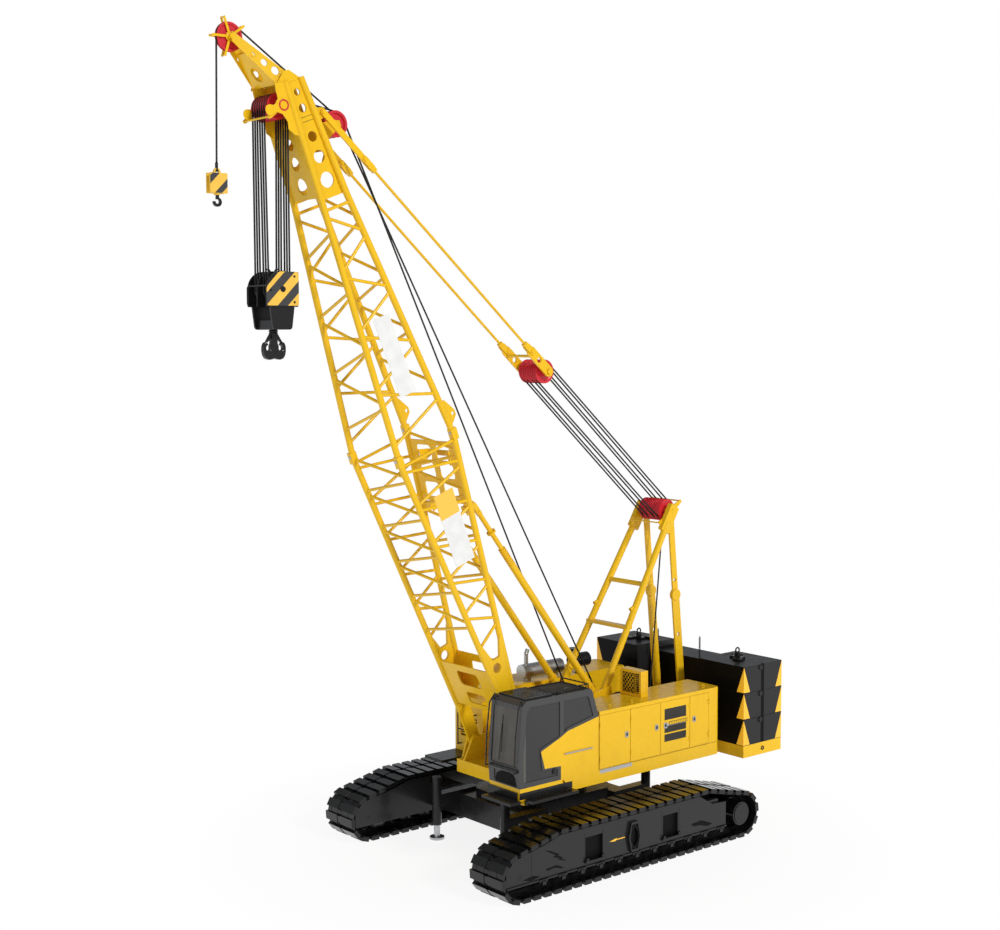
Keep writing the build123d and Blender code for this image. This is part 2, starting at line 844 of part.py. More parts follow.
def build_cab():
    hull = side_slab(make_face(Polyline(*cab_outline, close=True)), cab_inner, house_side)
    room = side_slab(inset_outline(cab_outline, cab_wall), cab_inner + cab_wall, house_side - cab_wall)
    cab = hull - room
    outer_wall = (house_side - cab_wall, house_side)
    cut_wall = (house_side - cab_wall - 1, house_side + 1)
    panel_face = make_face(Polyline(*cab_panel_outline, close=True))
    cab -= side_slab(offset(panel_face, amount=joint_gap, kind=Kind.INTERSECTION), *cut_wall)
    keep("cab_panel", side_slab(inset_outline(cab_panel_outline, joint_gap / 2), *outer_wall))
    glass = []
    pane_y = (house_side - 22 - glass_thickness, house_side - 22)
    for outline in (door_glass_outline, rear_glass_outline):
        opening = make_face(Polyline(*outline, close=True))
        cab -= side_slab(opening, *cut_wall)
        glass.append(side_slab(inset_outline(outline, glass_gap), *pane_y))
    inner_cut = (cab_inner - 1, cab_inner + cab_wall + 1)
    right_window = [(480, 2500), (2040, 2330), (1960, 3200), (520, 3200)]
    cab -= side_plate(right_window, *inner_cut)
    glass.append(
        side_slab(inset_outline(right_window, glass_gap), cab_inner + 22, cab_inner + 22 + glass_thickness)
    )
    for low, high, inset in ((1790, 1990, 150), (2130, 3190, 75)):
        y = (cab_inner + inset, house_side - inset)
        cab -= box((cab_front - 160, cab_nose + 60), y, (low, high))
        lean_low = front_face_x(low)
        lean_high = front_face_x(high)
        pane = [
            (lean_low - 30, low + glass_gap), (lean_low - 22, low + glass_gap),
            (lean_high - 22, high - glass_gap), (lean_high - 30, high - glass_gap),
        ]
        glass.append(side_plate(pane, y[0] + glass_gap, y[1] - glass_gap))
    hatch = ((620, 1150), (1120, 1690))
    cab -= box(hatch[0], hatch[1], (cab_top - cab_wall - 1, cab_top + 1))
    glass.append(box(
        (hatch[0][0] + glass_gap, hatch[0][1] - glass_gap),
        (hatch[1][0] + glass_gap, hatch[1][1] - glass_gap), (cab_top - 30, cab_top - 22),
    ))
    keep("cab", cab)
    keep("cab_glass", glass)
    floor = cab_bottom + cab_wall + joint_gap
    seat = box((690, 1190), (1170, 1640), (floor + 330, floor + 460))
    back = side_plate(
        [(600, floor + 380), (700, floor + 380), (640, floor + 1080), (540, floor + 1060)], 1180, 1630,
    )
    post = box((800, 1060), (1280, 1530), (floor, floor + 340))
    console = side_plate([(1700, floor), (1980, floor), (1960, floor + 560), (1820, floor + 600)], 1260, 1560)
    boxes = [box((700, 1180), (y - 50, y + 50), (floor, floor + 520)) for y in (1105, 1705)]
    keep("cab_seat", [joined([seat, back, post]), console] + boxes)


def front_face_x(z):
    """The cab's front face at a height."""
    if z < cab_nose_height:
        share = (z - cab_bottom) / (cab_nose_height - cab_bottom)
        return cab_front + share * (cab_nose - cab_front)
    top = cab_top - 90
    share = (z - cab_nose_height) / (top - cab_nose_height)
    return cab_nose + share * (cab_roof_front + 40 - cab_nose)


def bent_bar(points, diameter):
    """A round bar through several points."""
    bars = [rod(low, high, diameter) for low, high in zip(points, points[1:])]
    knees = [Pos(*point) * Sphere(diameter / 2) for point in points[1:-1]]
    return joined(bars + knees)


def build_cab_guards():
    """Tube guards at the windscreen, the roof visor and the grab rails."""
    guards = []
    d = guard_diameter
    for y, low in ((house_side - 30, 2050), (cab_inner + 30, 2050)):
        reach = 95
        top_x = front_face_x(3230)
        low_x = front_face_x(low + d / 2)
        points = [
            (low_x + joint_gap, y, low), (low_x + reach, y, low), (front_face_x(2700) + reach, y, 2700),
            (top_x + reach - 20, y, 3230), (top_x - 60, y, cab_top + visor_height - d / 2),
        ]
        guards.append(bent_bar(points, d))
    rim_x = (1330, cab_roof_front - 90)
    rim_y = (cab_inner + 60, house_side - 60)
    z = (cab_top + joint_gap, cab_top + visor_height)
    frame = box(rim_x, rim_y, z) - box(
        (rim_x[0] + 25, rim_x[1] - 25), (rim_y[0] + 25, rim_y[1] - 25), (z[0] - 1, z[1] + 1),
    )
    pitch = (rim_x[1] - rim_x[0] - 50) / (visor_slats + 1)
    slats = []
    for index in range(visor_slats):
        x = rim_x[0] + 25 + (index + 1) * pitch
        slats.append(box(
            (x - visor_slat_thickness, x + visor_slat_thickness), (rim_y[0] + 20, rim_y[1] - 20),
            (z[1] - 14, z[1] - 2),
        ))
    guards.append(joined([frame] + slats))
    keep("cab_guards", joined(guards))
    rails = []
    front = right_house_front + joint_gap
    outer = right_house_front + rail_reach
    for y in (-1150, -1650):
        rails.append(rod((outer, y, 1676), (outer, y, 2374), d))
        for z in (1690, 2360):
            rails.append(rod((front, y, z), (outer, y, z), d))
    rails.append(rod((outer, -1650, 2010), (outer, -1150, 2010), d))
    rails = joined(rails)
    keep("handrails", rails)


def build_walkways():
    """Black step plates beside and in front of the cab, and on the right."""
    top, thick = 1530, 55
    plates = [
        box((900, 2060), (house_side + 12, house_side + 215), (top - thick, top)),
        box((cab_front + 40, cab_front + 290), (1080, house_side + 60), (top - thick, top)),
        box((right_house_front + joint_gap, 1580), (-house_side, -1280), (top - thick, top)),
    ]
    arms = []
    for x in (1150, 2000):
        arms.append(box(
            (x - 30, x + 30), (house_side - house_wall, house_side + 40), (top - thick - 60, top - thick + 5),
        ))
    plates[0] = joined([plates[0]] + arms)
    arms = []
    for y in (1200, 1700):
        arms.append(
            box((2060 + joint_gap, cab_front + 60), (y - 30, y + 30), (top - thick - 60, top - thick + 5))
        )
    plates[1] = joined([plates[1]] + arms)
    keep("walkways", plates)


def build_counterweight():
    tray_top = tray_bottom + tray_height
    tray = box((weight_rear, weight_front), (-weight_half_width, weight_half_width), (tray_bottom, tray_top))
    room = (link_foot_x - 150, weight_front + 10)
    tray -= box(room, (-520, 520), (tray_bottom - 10, tray_top + 10))
    keep("counterweight_tray", tray)
    slabs = []
    height = (slab_top - tray_top) / slab_count
    for side in (-1, 1):
        for index in range(slab_count):
            low = tray_top + index * height + slab_gap
            high = tray_top + (index + 1) * height
            slab = box((weight_rear, weight_front), span(side, stack_inner, weight_half_width), (low, high))
            x = (rib_x - rib_slot_width / 2, rib_x + rib_slot_width / 2)
            slot_y = span(side, weight_half_width - rib_slot_depth, weight_half_width + 5)
            slab -= box(x, slot_y, (low - 1, high + 1))
            lug = box(
                (rib_x + 45, rib_x + 105), span(side, weight_half_width - 5, weight_half_width + 28),
                (high - 110, high - 50),
            )
            slabs.append(joined([slab, lug]))
    centre = box(
        (weight_rear, weight_front - 420), (-stack_inner + slab_gap, stack_inner - slab_gap),
        (tray_top + slab_gap, slab_top - centre_drop),
    )
    slabs.append(centre)
    keep("counterweight_slabs", slabs)


def sheave_stack(radius, count, pitch, bore, groove=24):
    """Grooved rope sheaves side by side on a shared sleeve, about the Y axis."""
    half = count * pitch / 2
    rim = pitch / 2 - 4
    points = [(bore, -half)]
    points.append((bore + 45, -half))
    for index in range(count):
        middle = -half + (index + 0.5) * pitch
        points.append((bore + 45, middle - rim * 0.55))
        points.append((radius - groove - 40, middle - rim * 0.55))
        points.append((radius - groove - 22, middle - rim))
        points.append((radius, middle - rim))
        points.append((radius - groove, middle - rim * 0.25))
        points.append((radius - groove, middle + rim * 0.25))
        points.append((radius, middle + rim))
        points.append((radius - groove - 22, middle + rim))
        points.append((radius - groove - 40, middle + rim * 0.55))
        points.append((bore + 45, middle + rim * 0.55))
    points.append((bore + 45, half))
    points.append((bore, half))
    profile = make_face(Polyline(*points, close=True))
    return revolve(profile, Axis.Y)


def leg_bar(start, end, width, thickness):
    """A flat bar with round eyes, standing in an XZ plane."""
    span = Vector(*end) - Vector(*start)
    plane = Plane(origin=start, x_dir=span, z_dir=(0, 1, 0))
    outline = Pos(span.length / 2, 0) * SlotCenterToCenter(span.length, width)
    return extrude(plane * outline, amount=thickness / 2, both=True)


def gantry_point(share, side=1):
    """A point on one gantry leg, as a share of the way from foot to head."""
    foot = Vector(gantry_foot_x, side * gantry_foot_y, gantry_foot_z)
    head = Vector(gantry_head_x, side * gantry_head_y, gantry_head_z)
    return foot + (head - foot) * share


def boss(x, y, z, radius, length, bore):
    """A ring along Y."""
    return cross_rod(x, y, z, radius, length) - cross_rod(x, y, z, bore, 2 * length)


def build_gantry():
    legs = []
    eye_y = girder_y - girder_thickness - joint_gap - gantry_eye_thickness / 2
    for side in (-1, 1):
        low = gantry_point(0.07, side)
        legs.append(rod(low, gantry_point(0.93, side), gantry_leg))
        high = (low.X - 60, side * eye_y, low.Z + 90)
        legs.append(leg_bar((gantry_foot_x, side * eye_y, gantry_foot_z), high, 150, gantry_eye_thickness))
        legs.append(cheek_block(side))
        bracket = gantry_point(0.46, side)
        legs.append(rod(bracket, bracket + Vector(170, 0, -60), 70) - rod(
            bracket + Vector(60, 0, -20), bracket + Vector(200, 0, -70), 44,
        ))
    beam_low, beam_high = gantry_point(0.34), gantry_point(0.58)
    width = beam_low.Y + 60
    legs.append(box((beam_low.X - 70, beam_low.X + 70), (-width, width), (beam_low.Z - 35, beam_low.Z + 35)))
    legs.append(rod((beam_high.X, -beam_high.Y, beam_high.Z), (beam_high.X, beam_high.Y, beam_high.Z), 100))
    legs.append(cross_rod(gantry_head_x, 0, gantry_head_z, gantry_axle_radius, 2 * gantry_head_y + 130))
    keep("gantry_legs", joined(legs))
    links = []
    for side in (-1, 1):
        y = side * link_y
        head = (gantry_head_x - 60, y, gantry_head_z - 150)
        knee = (link_knee_x, y, link_knee_z)
        foot = (link_foot_x, y, link_foot_z)
        upper = leg_bar(head, knee, link_width - 60, link_thickness)
        lower = leg_bar(knee, foot, link_width, link_thickness)
        link = joined([upper, lower, cross_rod(knee[0], y, knee[2], 125, link_thickness + 40)])
        for x, z, radius in (
            (link_foot_x, link_foot_z, 50 + pin_clearance), (link_knee_x + 38, 4905, 38), (-3545, 3720, 38),
        ):
            link = link - cross_rod(x, y, z, radius, 3 * link_thickness)
        links.append(link)
    keep("gantry_links", links)
    stack = sheave_stack(
        gantry_sheave_radius, gantry_sheave_count, gantry_sheave_pitch, gantry_axle_radius + sheave_clearance,
    )
    keep("gantry_sheaves", Pos(gantry_head_x, 0, gantry_head_z) * stack)


def cheek_block(side):
    """The block on a leg's head, with its keeper arms."""
    low = gantry_point(0.88, side)
    near = gantry_head_y - cheek_block_thickness / 2
    plane = Plane(
        origin=(low.X, side * gantry_head_y, low.Z),
        x_dir=(gantry_point(1).X - low.X, 0, gantry_point(1).Z - low.Z), z_dir=(0, -1, 0),
    )
    reach = (gantry_point(1) - gantry_point(0.88)).length + 110
    block = extrude(
        plane * (Pos(reach / 2, 0) * Rectangle(reach, cheek_block_width)), amount=cheek_block_thickness / 2,
        both=True,
    )
    y = span(side, near, near + 24)
    back = [
        (gantry_head_x - 60, gantry_head_z - 60), (gantry_head_x + 40, gantry_head_z + 60),
        (gantry_head_x - 300, gantry_head_z + 215), (gantry_head_x - 330, gantry_head_z + 165),
    ]
    front = [
        (gantry_head_x + 20, gantry_head_z - 200), (gantry_head_x + 90, gantry_head_z - 80),
        (gantry_head_x + 365, gantry_head_z - 210), (gantry_head_x + 330, gantry_head_z - 270),
    ]
    pieces = [block, side_plate(back, *y), side_plate(front, *y)]
    if side > 0:
        for x, z in ((gantry_head_x - 300, gantry_head_z + 187), (gantry_head_x + 335, gantry_head_z - 235)):
            pieces.append(rod((x, -near - 12, z), (x, near + 12, z), 30))
    return joined(pieces) if side < 0 else pieces[0].fuse(*pieces[1:])


def drum(x, z, radius, flange):
    inner = girder_y - girder_thickness
    return joined([
        cross_rod(x, 0, z, radius, 1100), cross_rod(x, 550, z, flange, 40),
        cross_rod(x, -550, z, flange, 40), cross_rod(x, 0, z, drum_shaft_radius, 2 * (inner - joint_gap)),
    ])


def build_deck_gear():
    keep("winch_drums", [drum(x, drum_height, drum_radius, drum_flange) for x in drum_xs])
    stands = []
    for x in (-1300, -550):
        stands.append(box((x - 50, x + 50), (muffler_y - 60, muffler_y + 60), (house_top + joint_gap, 3000)))
    pipe = rod((-515, muffler_y, 3150), (-515, muffler_y, 3480), 90)
    bend = rod((-515, muffler_y, 3460), (-560, muffler_y, 3560), 90) + Pos(-515, muffler_y, 3470) * Sphere(45)
    body = rod((-376, muffler_y, 3100), (-1470, muffler_y, 3100), 300)
    keep("muffler", joined([body, pipe, bend] + stands))
    cleaner_y = -1000
    keep("air_cleaner", joined([
        rod((-1700, cleaner_y, 3170), (-2150, cleaner_y, 3170), 300),
        rod((-1790, cleaner_y, 3200), (-1790, cleaner_y, 3400), 90),
        rod((-1790, cleaner_y, 3370), (-1790, cleaner_y, 3440), 240),
        box((-1950, -1850), (cleaner_y - 40, cleaner_y + 40), (house_top + joint_gap, 3100)),
    ]))
    x, y, z = (-1450, -1253), (960, 1545), (house_top + joint_gap, 3405)
    cage = box(x, y, z)
    cage = cage - box((x[0] + 20, x[1] + 50), (y[0] + 60, y[1] - 60), (z[0] + 60, z[1] - 60))
    for index in range(9):
        low = z[0] + 75 + 50 * index
        cage = cage - box((x[0] + 30, x[1] - 30), (y[1] - 12, y[1] + 20), (low, low + 28))
    bars = [
        box((x[1] - 14, x[1] - 4), (y[0] + 60, y[1] - 60), (low, low + 12)) for low in range(2960, 3340, 38)
    ]
    bars += [box(
        (x[1] - 22, x[1] - 12), (y_low, y_low + 12), (z[0] + 60, z[1] - 60),
    ) for y_low in range(1035, 1470, 46)]
    keep("cooler", joined([cage] + bars))
    keep("engine_block", box((-2700, -1300), (-1700, -1060), (house_floor + house_wall + joint_gap, 2500)))


# -------------------------------------------------------------------- boom
boom_place = Location((foot_x, 0, foot_z), (0, 90 - boom_angle, 0))


def boom_point(along, depth, y=0):
    """A point given along the boom and square to it, in the crane's frame."""
    angle = radians(boom_angle)
    x = foot_x + along * cos(angle) + depth * sin(angle)
    z = foot_z + along * sin(angle) - depth * cos(angle)
    return (x, y, z)


def section_corner(section, front, side):
    along, half_width, front_depth, rear_depth = section
    return (front_depth if front else rear_depth, side * half_width, along)


def section_lug(corner, way):
    """The square lug at a chord's end, from the joint's plane inwards."""
    depth, y, along = corner
    half = section_lug_width / 2
    ends = sorted((along, along + way * section_lug_length))
    return box((depth - half, depth + half), (y - half, y + half), ends)


def lattice(low, high, panels, start_share, end_share, lug_ends):
    """Four chords between two sections, with zigzag lacing on all four faces."""
    tubes = []
    length = high[0] - low[0]

    def on_chord(front, side, share):
        start = Vector(*section_corner(low, front, side))
        end = Vector(*section_corner(high, front, side))
        return tuple(start + (end - start) * share)

    def lace(corner_a, share_a, corner_b, share_b):
        """One lacing tube, ending inside the chords but short of their axes."""
        start = Vector(*on_chord(*corner_a, share_a))
        end = Vector(*on_chord(*corner_b, share_b))
        way = (end - start).normalized()
        run = Vector(*section_corner(high, *corner_a)) - Vector(*section_corner(low, *corner_a))
        back_off = lacing_seat / way.cross(run.normalized()).length
        tubes.append(rod(start + way * back_off, end - way * back_off, lacing_diameter))

    reach = 2 * house_side
    trim = box((-reach, reach), (-reach, reach), (low[0], high[0]))
    for front in (True, False):
        for side in (-1, 1):
            outward = (1 if front else -1, side, 0)
            chord = rod(on_chord(front, side, -0.02), on_chord(front, side, 1.02), chord_diameter, outward)
            tubes.append(chord & trim)
            for share in lug_ends:
                tubes.append(section_lug(on_chord(front, side, share), 1 - 2 * share))
    step = (end_share - start_share) / panels
    apart = lacing_gap / length
    corners = {
        "left": ((True, 1), (False, 1), 0), "right": ((True, -1), (False, -1), 0),
        "front": ((True, -1), (True, 1), 0.25), "rear": ((False, 1), (False, -1), 0.75),
    }
    for first, second, phase in corners.values():
        for index in range(panels):
            low_share = start_share + (index + phase) * step
            middle = low_share + step / 2
            lace(first, low_share + apart, second, middle - apart)
            if low_share + step <= end_share + step / 4:
                lace(second, middle + apart, first, low_share + step - apart)
    for share in (start_share - 1.2 * apart, end_share + 1.2 * apart):
        for side in (-1, 1):
            if share > start_share:
                lace((True, side), share, (False, side), share)
    return tubes


def boom_plate(outline, y_low, y_high, holes=()):
    """A plate square to Y, in boom coordinates: (depth, along) points."""
    face = make_face(Polyline(*outline, close=True))
    for depth, along, radius in holes:
        face -= Pos(depth, along) * Circle(radius)
    return in_side_view(face, y_low, y_high)


def face_plate(depth_at, low, high, half_width, thickness, cuts):
    """A plate between two chords of the front or rear face, with cut-outs."""
    half = thickness / 2
    outline = [
        (depth_at(low) - half, low), (depth_at(low) + half, low),
        (depth_at(high) + half, high), (depth_at(high) - half, high),
    ]
    plate = side_plate(outline, -half_width, half_width)
    for y, along, width, height in cuts:
        depth = depth_at(along)
        cut = box(
            (depth - 200, depth + 200), (y - width / 2, y + width / 2),
            (along - height / 2, along + height / 2),
        )
        plate -= fillet(cut.edges().filter_by(Axis.X), min(width, height) / 4)
    return plate


def chord_depth(front):
    index = 2 if front else 3

    def depth_at(along):
        share = (along - base_low[0]) / (base_high[0] - base_low[0])
        return base_low[index] + share * (base_high[index] - base_low[index])

    return depth_at


def build_boom():
    base = lattice(base_low, base_high, base_panels, 0.29, 0.97, (1,))
    outline = [
        (-130, -40), (-60, -130), (60, -130), (130, -40), (150, 800), (235, 1900), (295, 2600), (215, 2500),
        (90, 2150), (-90, 2150), (-215, 2500), (-295, 2600), (-235, 1900), (-150, 800),
    ]
    for side in (-1, 1):
        y = span(side, foot_plate_y - foot_plate_thickness / 2, foot_plate_y + foot_plate_thickness / 2)
        base.append(boom_plate(outline, *y, holes=[(50, 1970, 95)]))
    foot_cuts = ((0, 1180, 560, 260), (0, 1640, 640, 330))
    for front in (True, False):
        base.append(face_plate(chord_depth(front), 950, 1950, foot_plate_y, 24, foot_cuts))
    rear_cuts = [(y, along, 430, 300) for y in (-290, 290) for along in (5350, 5740, 6090)]
    base.append(face_plate(chord_depth(False), 5120, 6330, 700, 24, rear_cuts))
    for y in (-430, 430):
        arm = [(guide_roller_depth + 60, 5930), (guide_roller_depth + 60, 6060), (-590, 6150), (-590, 5860)]
        base.append(boom_plate(arm, y - 12, y + 12))
    base.append(cross_rod(guide_roller_depth + 70, 0, 5995, 55, 900))
    for side in (-1, 1):
        y = span(side, backstop_y - 30 - joint_gap - 25, backstop_y - 30 - joint_gap)
        ear = [
            (-560, backstop_eye_along - 150), (-560, backstop_eye_along + 150),
            (
                backstop_eye_depth - 50, backstop_eye_along + 60,
            ), (backstop_eye_depth - 50, backstop_eye_along - 60),
        ]
        base.append(boom_plate(ear, *y))
        x = (-590, -500)
        base.append(
            box(x, span(side, backstop_y - 80, 735), (backstop_eye_along - 60, backstop_eye_along + 60))
        )
    solid = joined(base)
    for side in (-1, 1):
        solid = solid - cross_rod(0, side * foot_plate_y, 0, foot_pin_radius + pin_clearance, 200)
    keep("boom_base", boom_place * solid)
    start = (boom_joint + joint_gap, *base_high[1:])
    top = lattice(start, top_high, top_panels, 0.05, 0.95, (0,))
    for side in (-1, 1):
        y = span(side, 700, 724)
        ear = [(-600, 6640), (-600, 7150), (-690, 7150), (-850, 6900), (-850, 6800), (-690, 6640)]
        top.append(boom_plate(ear, *y, holes=[(-790, 6850, 34)]))
    keep("boom_top", boom_place * joined(top))
    boards = []
    for low, high, depth_low, depth_high in board_table:
        half = top_half_width if low > boom_joint else base_half_width
        seat = lacing_diameter / 2 + joint_gap
        outline = [
            (half(low) + seat, low), (half(low) + seat + board_thickness, low),
            (half(high) + seat + board_thickness, high), (half(high) + seat, high),
        ]
        boards.append(end_plate(outline, depth_low, depth_high))
    keep("boom_boards", [boom_place * board for board in boards])


def top_half_width(along):
    share = (along - boom_joint) / (top_high[0] - boom_joint)
    return base_high[1] + share * (top_high[1] - base_high[1])


def base_half_width(along):
    share = (along - base_low[0]) / (boom_joint - base_low[0])
    return base_low[1] + share * (base_high[1] - base_low[1])


def head_chords():
    """The four chords run on through the head, to its top."""
    tubes = []
    share = (head_top - top_high[0]) / (top_high[0] - boom_joint)
    low = (top_high[0] + joint_gap, *top_high[1:])
    high = (head_top, head_half_width, head_front, head_rear)
    reach = 2 * house_side
    trim = box((-reach, reach), (-reach, reach), (low[0], high[0]))
    for front in (True, False):
        for side in (-1, 1):
            start = Vector(*section_corner(low, front, side))
            end = Vector(*section_corner(high, front, side))
            way = (end - start) * 0.05
            tubes.append(rod(start - way, end + way, chord_diameter, (1 if front else -1, side, 0)) & trim)
    return tubes


def keeper_arm(reach, width, angle):
    """A flat arm out from an axle, in the side view, with a round end."""
    arm = Pos(reach / 2, 0) * SlotCenterToCenter(reach, width)
    return Rot(0, 0, angle) * arm


def rear_at(along):
    """Depth of the head's rear chords at a place along the boom."""
    share = (along - top_high[0]) / (head_top - top_high[0])
    return top_high[3] + share * (head_rear - top_high[3])


def build_head():
    pieces = head_chords()
    half = head_half_width
    low = top_high[0] + joint_gap
    outline = [
        (top_high[3], low), (top_high[2], low), (head_front, head_top), (head_rear, head_top),
    ]
    for side in (-1, 1):
        y = span(side, half - head_plate_thickness, half)
        face = make_face(Polyline(*outline, close=True))
        for along, depth, radius in head_holes:
            face -= Pos(depth, along) * Circle(radius)
        pieces.append(in_side_view(face, *y))
        bracket = make_face(Polyline(
            (head_front - 60, main_axle_along - 480), (head_front + 40, main_axle_along - 470),
            (main_axle_depth - 120, main_axle_along - 190), (main_axle_depth, main_axle_along - 130),
            (main_axle_depth, main_axle_along + 130), (head_front, main_axle_along + 330), (head_front - 60, main_axle_along + 330), close=True))
        bracket += Pos(main_axle_depth, main_axle_along) * Circle(135)
        bracket += Pos(main_axle_depth, main_axle_along) * keeper_arm(keeper_reach, 70, -18)
        pieces.append(in_side_view(bracket, *y))
    inner = half - head_plate_thickness / 2
    pieces.append(face_strip(
        top_high[0] + 60, 12560, top_high[2], head_front, inner,
        ((0, 11560, 150), (0, 11960, 125), (0, 12300, 105)),
    ))
    pieces.append(rod((rear_at(11400), -inner, 11400), (rear_at(12100), inner, 12100), lacing_diameter))
    pieces.append(box((head_rear + 20, head_front - 20), (-inner, inner), (head_top - 45, head_top - 15)))
    pieces.append(cross_rod(main_axle_depth, 0, main_axle_along, main_axle_radius, 2 * half + 30))
    angle = radians(-18)
    keeper = (main_axle_depth + keeper_reach * cos(angle), main_axle_along + keeper_reach * sin(angle))
    pieces.append(cross_rod(keeper[0], 0, keeper[1], 18, 2 * half - 10))
    for y in (-guide_arm_y, guide_arm_y):
        arm = [
            (head_rear - 20, guide_along - 330), (head_rear - 20, guide_along + 130), (
                guide_depth + 40, guide_along + 80,
            ),
            (
                guide_depth - 60, guide_along + 40,
            ), (guide_depth - 60, guide_along - 60), (guide_depth + 40, guide_along - 90),
        ]
        pieces.append(boom_plate(arm, y - 12, y + 12))
    pieces.append(
        box((head_rear - 30, head_rear - 5), (-inner, inner), (guide_along - 340, guide_along + 140))
    )
    pieces.append(cross_rod(guide_depth, 0, guide_along, guide_axle_radius, 2 * guide_arm_y + 40))
    for side in (-1, 1):
        y = span(side, pendant_y - 18 - joint_gap - 30, pendant_y - 18 - joint_gap)
        lug = [
            (
                head_rear + 40, lug_along - 170,
            ), (head_rear + 40, lug_along + 170), (lug_depth - 40, lug_along + 75),
            (lug_depth - 75, lug_along), (lug_depth - 40, lug_along - 75),
        ]
        pieces.append(boom_plate(lug, *y))
        pieces.append(rod((lug_depth, y[0] + 5, lug_along), (lug_depth, y[1] - 5, lug_along), 70))
        pin = sorted((y[0], side * (pendant_y + 18 + 16)))
        pieces.append(rod((lug_depth, pin[0], lug_along), (lug_depth, pin[1], lug_along), 2 * lug_pin_radius))
    keep("boom_head", boom_place * joined(pieces))
    build_tip()
    guide = sheave_stack(guide_radius, guide_count, guide_pitch, guide_axle_radius + sheave_clearance)
    keep("guide_sheaves", boom_place * (Pos(guide_depth, 0, guide_along) * guide))
    main = sheave_stack(
        main_sheave_radius, main_sheave_count, main_sheave_pitch, main_axle_radius + sheave_clearance,
    )
    keep("main_sheaves", Pos(*boom_point(main_axle_along, main_axle_depth)) * main)
    tip_sheave = sheave_stack(tip_sheave_radius, 1, tip_sheave_width, tip_axle_radius + sheave_clearance)
    keep("tip_sheave", Pos(*boom_point(tip_along, tip_depth)) * tip_sheave)


def face_strip(low, high, depth_low, depth_high, half_width, holes):
    """A cross plate on the head's front or rear face, with round holes."""
    def depth_at(along):
        share = (along - top_high[0]) / (head_top - top_high[0])
        return depth_low + share * (depth_high - depth_low)

    half = head_plate_thickness / 2
    outline = [
        (depth_at(low) - half, low), (depth_at(low) + half, low),
        (depth_at(high) + half, high), (depth_at(high) - half, high),
    ]
    plate = side_plate(outline, -half_width, half_width)
    for y, along, radius in holes:
        depth = depth_at(along)
        plate -= rod((depth - 100, y, along), (depth + 100, y, along), 2 * radius)
    return plate


def build_tip():
    """The tapered extension beyond the head, with its rope keepers."""
    pieces = []
    side_face = [
        (tip_root_rear, head_top + joint_gap), (tip_root_front, head_top + joint_gap), (
            tip_root_front + 110, head_top + joint_gap,
        ),
        (tip_depth + 45, tip_along - 75), (tip_depth - 45, tip_along + 75),
    ]
    for side in (-1, 1):
        wide = side * tip_root_half
        pieces.append(tip_side(side_face, wide, side * tip_end_half, side))
    deck = [
        (tip_root_front + 60, head_top + joint_gap), (tip_root_front + 110, head_top + joint_gap),
        (tip_depth - 150, tip_along - 330), (tip_depth - 195, tip_along - 300),
    ]
    half_deck = tip_root_half - 30
    plate = side_plate(deck, -half_deck, half_deck)
    for side in (-1, 1):
        taper = [
            (
                head_top - 10, side * (tip_root_half - tip_plate / 2),
            ), (head_top - 10, side * 2 * tip_root_half),
            (tip_along, side * 2 * tip_root_half), (tip_along, side * (tip_end_half - tip_plate / 2)),
        ]
        face = make_face(Polyline(*[(y, z) for z, y in taper], close=True))
        plate -= extrude(Plane(origin=(-500, 0, 0), x_dir=(0, 1, 0), z_dir=(1, 0, 0)) * face, amount=2500)
    plate -= rod((tip_root_front - 300, 0, head_top + 230), (tip_root_front + 600, 0, head_top + 230), 260)
    pieces.append(plate)
    base = box(
        (tip_root_rear, tip_root_front + 110), (-tip_root_half, tip_root_half),
        (head_top + joint_gap, head_top + 30),
    )
    pieces.append(base)
    spread = tip_sheave_width / 2 + 8
    for side in (-1, 1):
        guard = Circle(80)
        for index in range(5):
            guard += keeper_arm(tip_sheave_radius + 45, 42, 72 * index + 20)
        y = span(side, spread, spread + 12)
        pieces.append(Pos(tip_depth, 0, tip_along) * in_side_view(guard, *y))
    for index in range(5):
        angle = radians(72 * index + 20)
        x = tip_depth + (tip_sheave_radius + 45) * cos(angle)
        z = tip_along + (tip_sheave_radius + 45) * sin(angle)
        pieces.append(cross_rod(x, 0, z, 14, 2 * (spread + 12)))
    pieces.append(cross_rod(tip_depth, 0, tip_along, tip_axle_radius, 2 * (tip_end_half + 15)))
    keep("boom_tip", boom_place * joined(pieces))


def tip_side(outline, wide, narrow, side):
    """One side plate of the extension, leaning in from its root to its tip."""
    slab = side_plate(outline, *sorted((0, wide * 1.2)))
    for along, depth, radius in tip_holes:
        slab -= cross_rod(depth, 0, along, radius, 4 * tip_root_half)
    near = [
        (head_top, wide - side * tip_plate), (head_top, wide),
        (tip_along + 200, narrow_at(wide, narrow)), (
            tip_along + 200, narrow_at(wide, narrow) - side * tip_plate,
        ),
    ]
    face = make_face(Polyline(*[(y, z) for z, y in near], close=True))
    leaning = extrude(Plane(origin=(-500, 0, 0), x_dir=(0, 1, 0), z_dir=(1, 0, 0)) * face, amount=2500)
    return slab & leaning


def narrow_at(wide, narrow):
    share = (tip_along + 200 - head_top) / (tip_along - head_top)
    return wide + (narrow - wide) * share


def rounded_plate(points, radii, y_low, y_high):
    """A side plate whose corners are rounded by the radii given."""
    face = make_face(Polyline(*points, close=True))
    for (x, z), radius in zip(points, radii):
        if radius:
            corner = face.vertices().sort_by_distance((x, z, 0))[0]
            face = fillet(corner, radius)
    return in_side_view(face, y_low, y_high)


def ring_eye(x, y, z, radius, wire):
    """An upright ring, square to Y."""
    return Pos(x, y, z) * (Rot(90, 0, 0) * Torus(radius, wire))


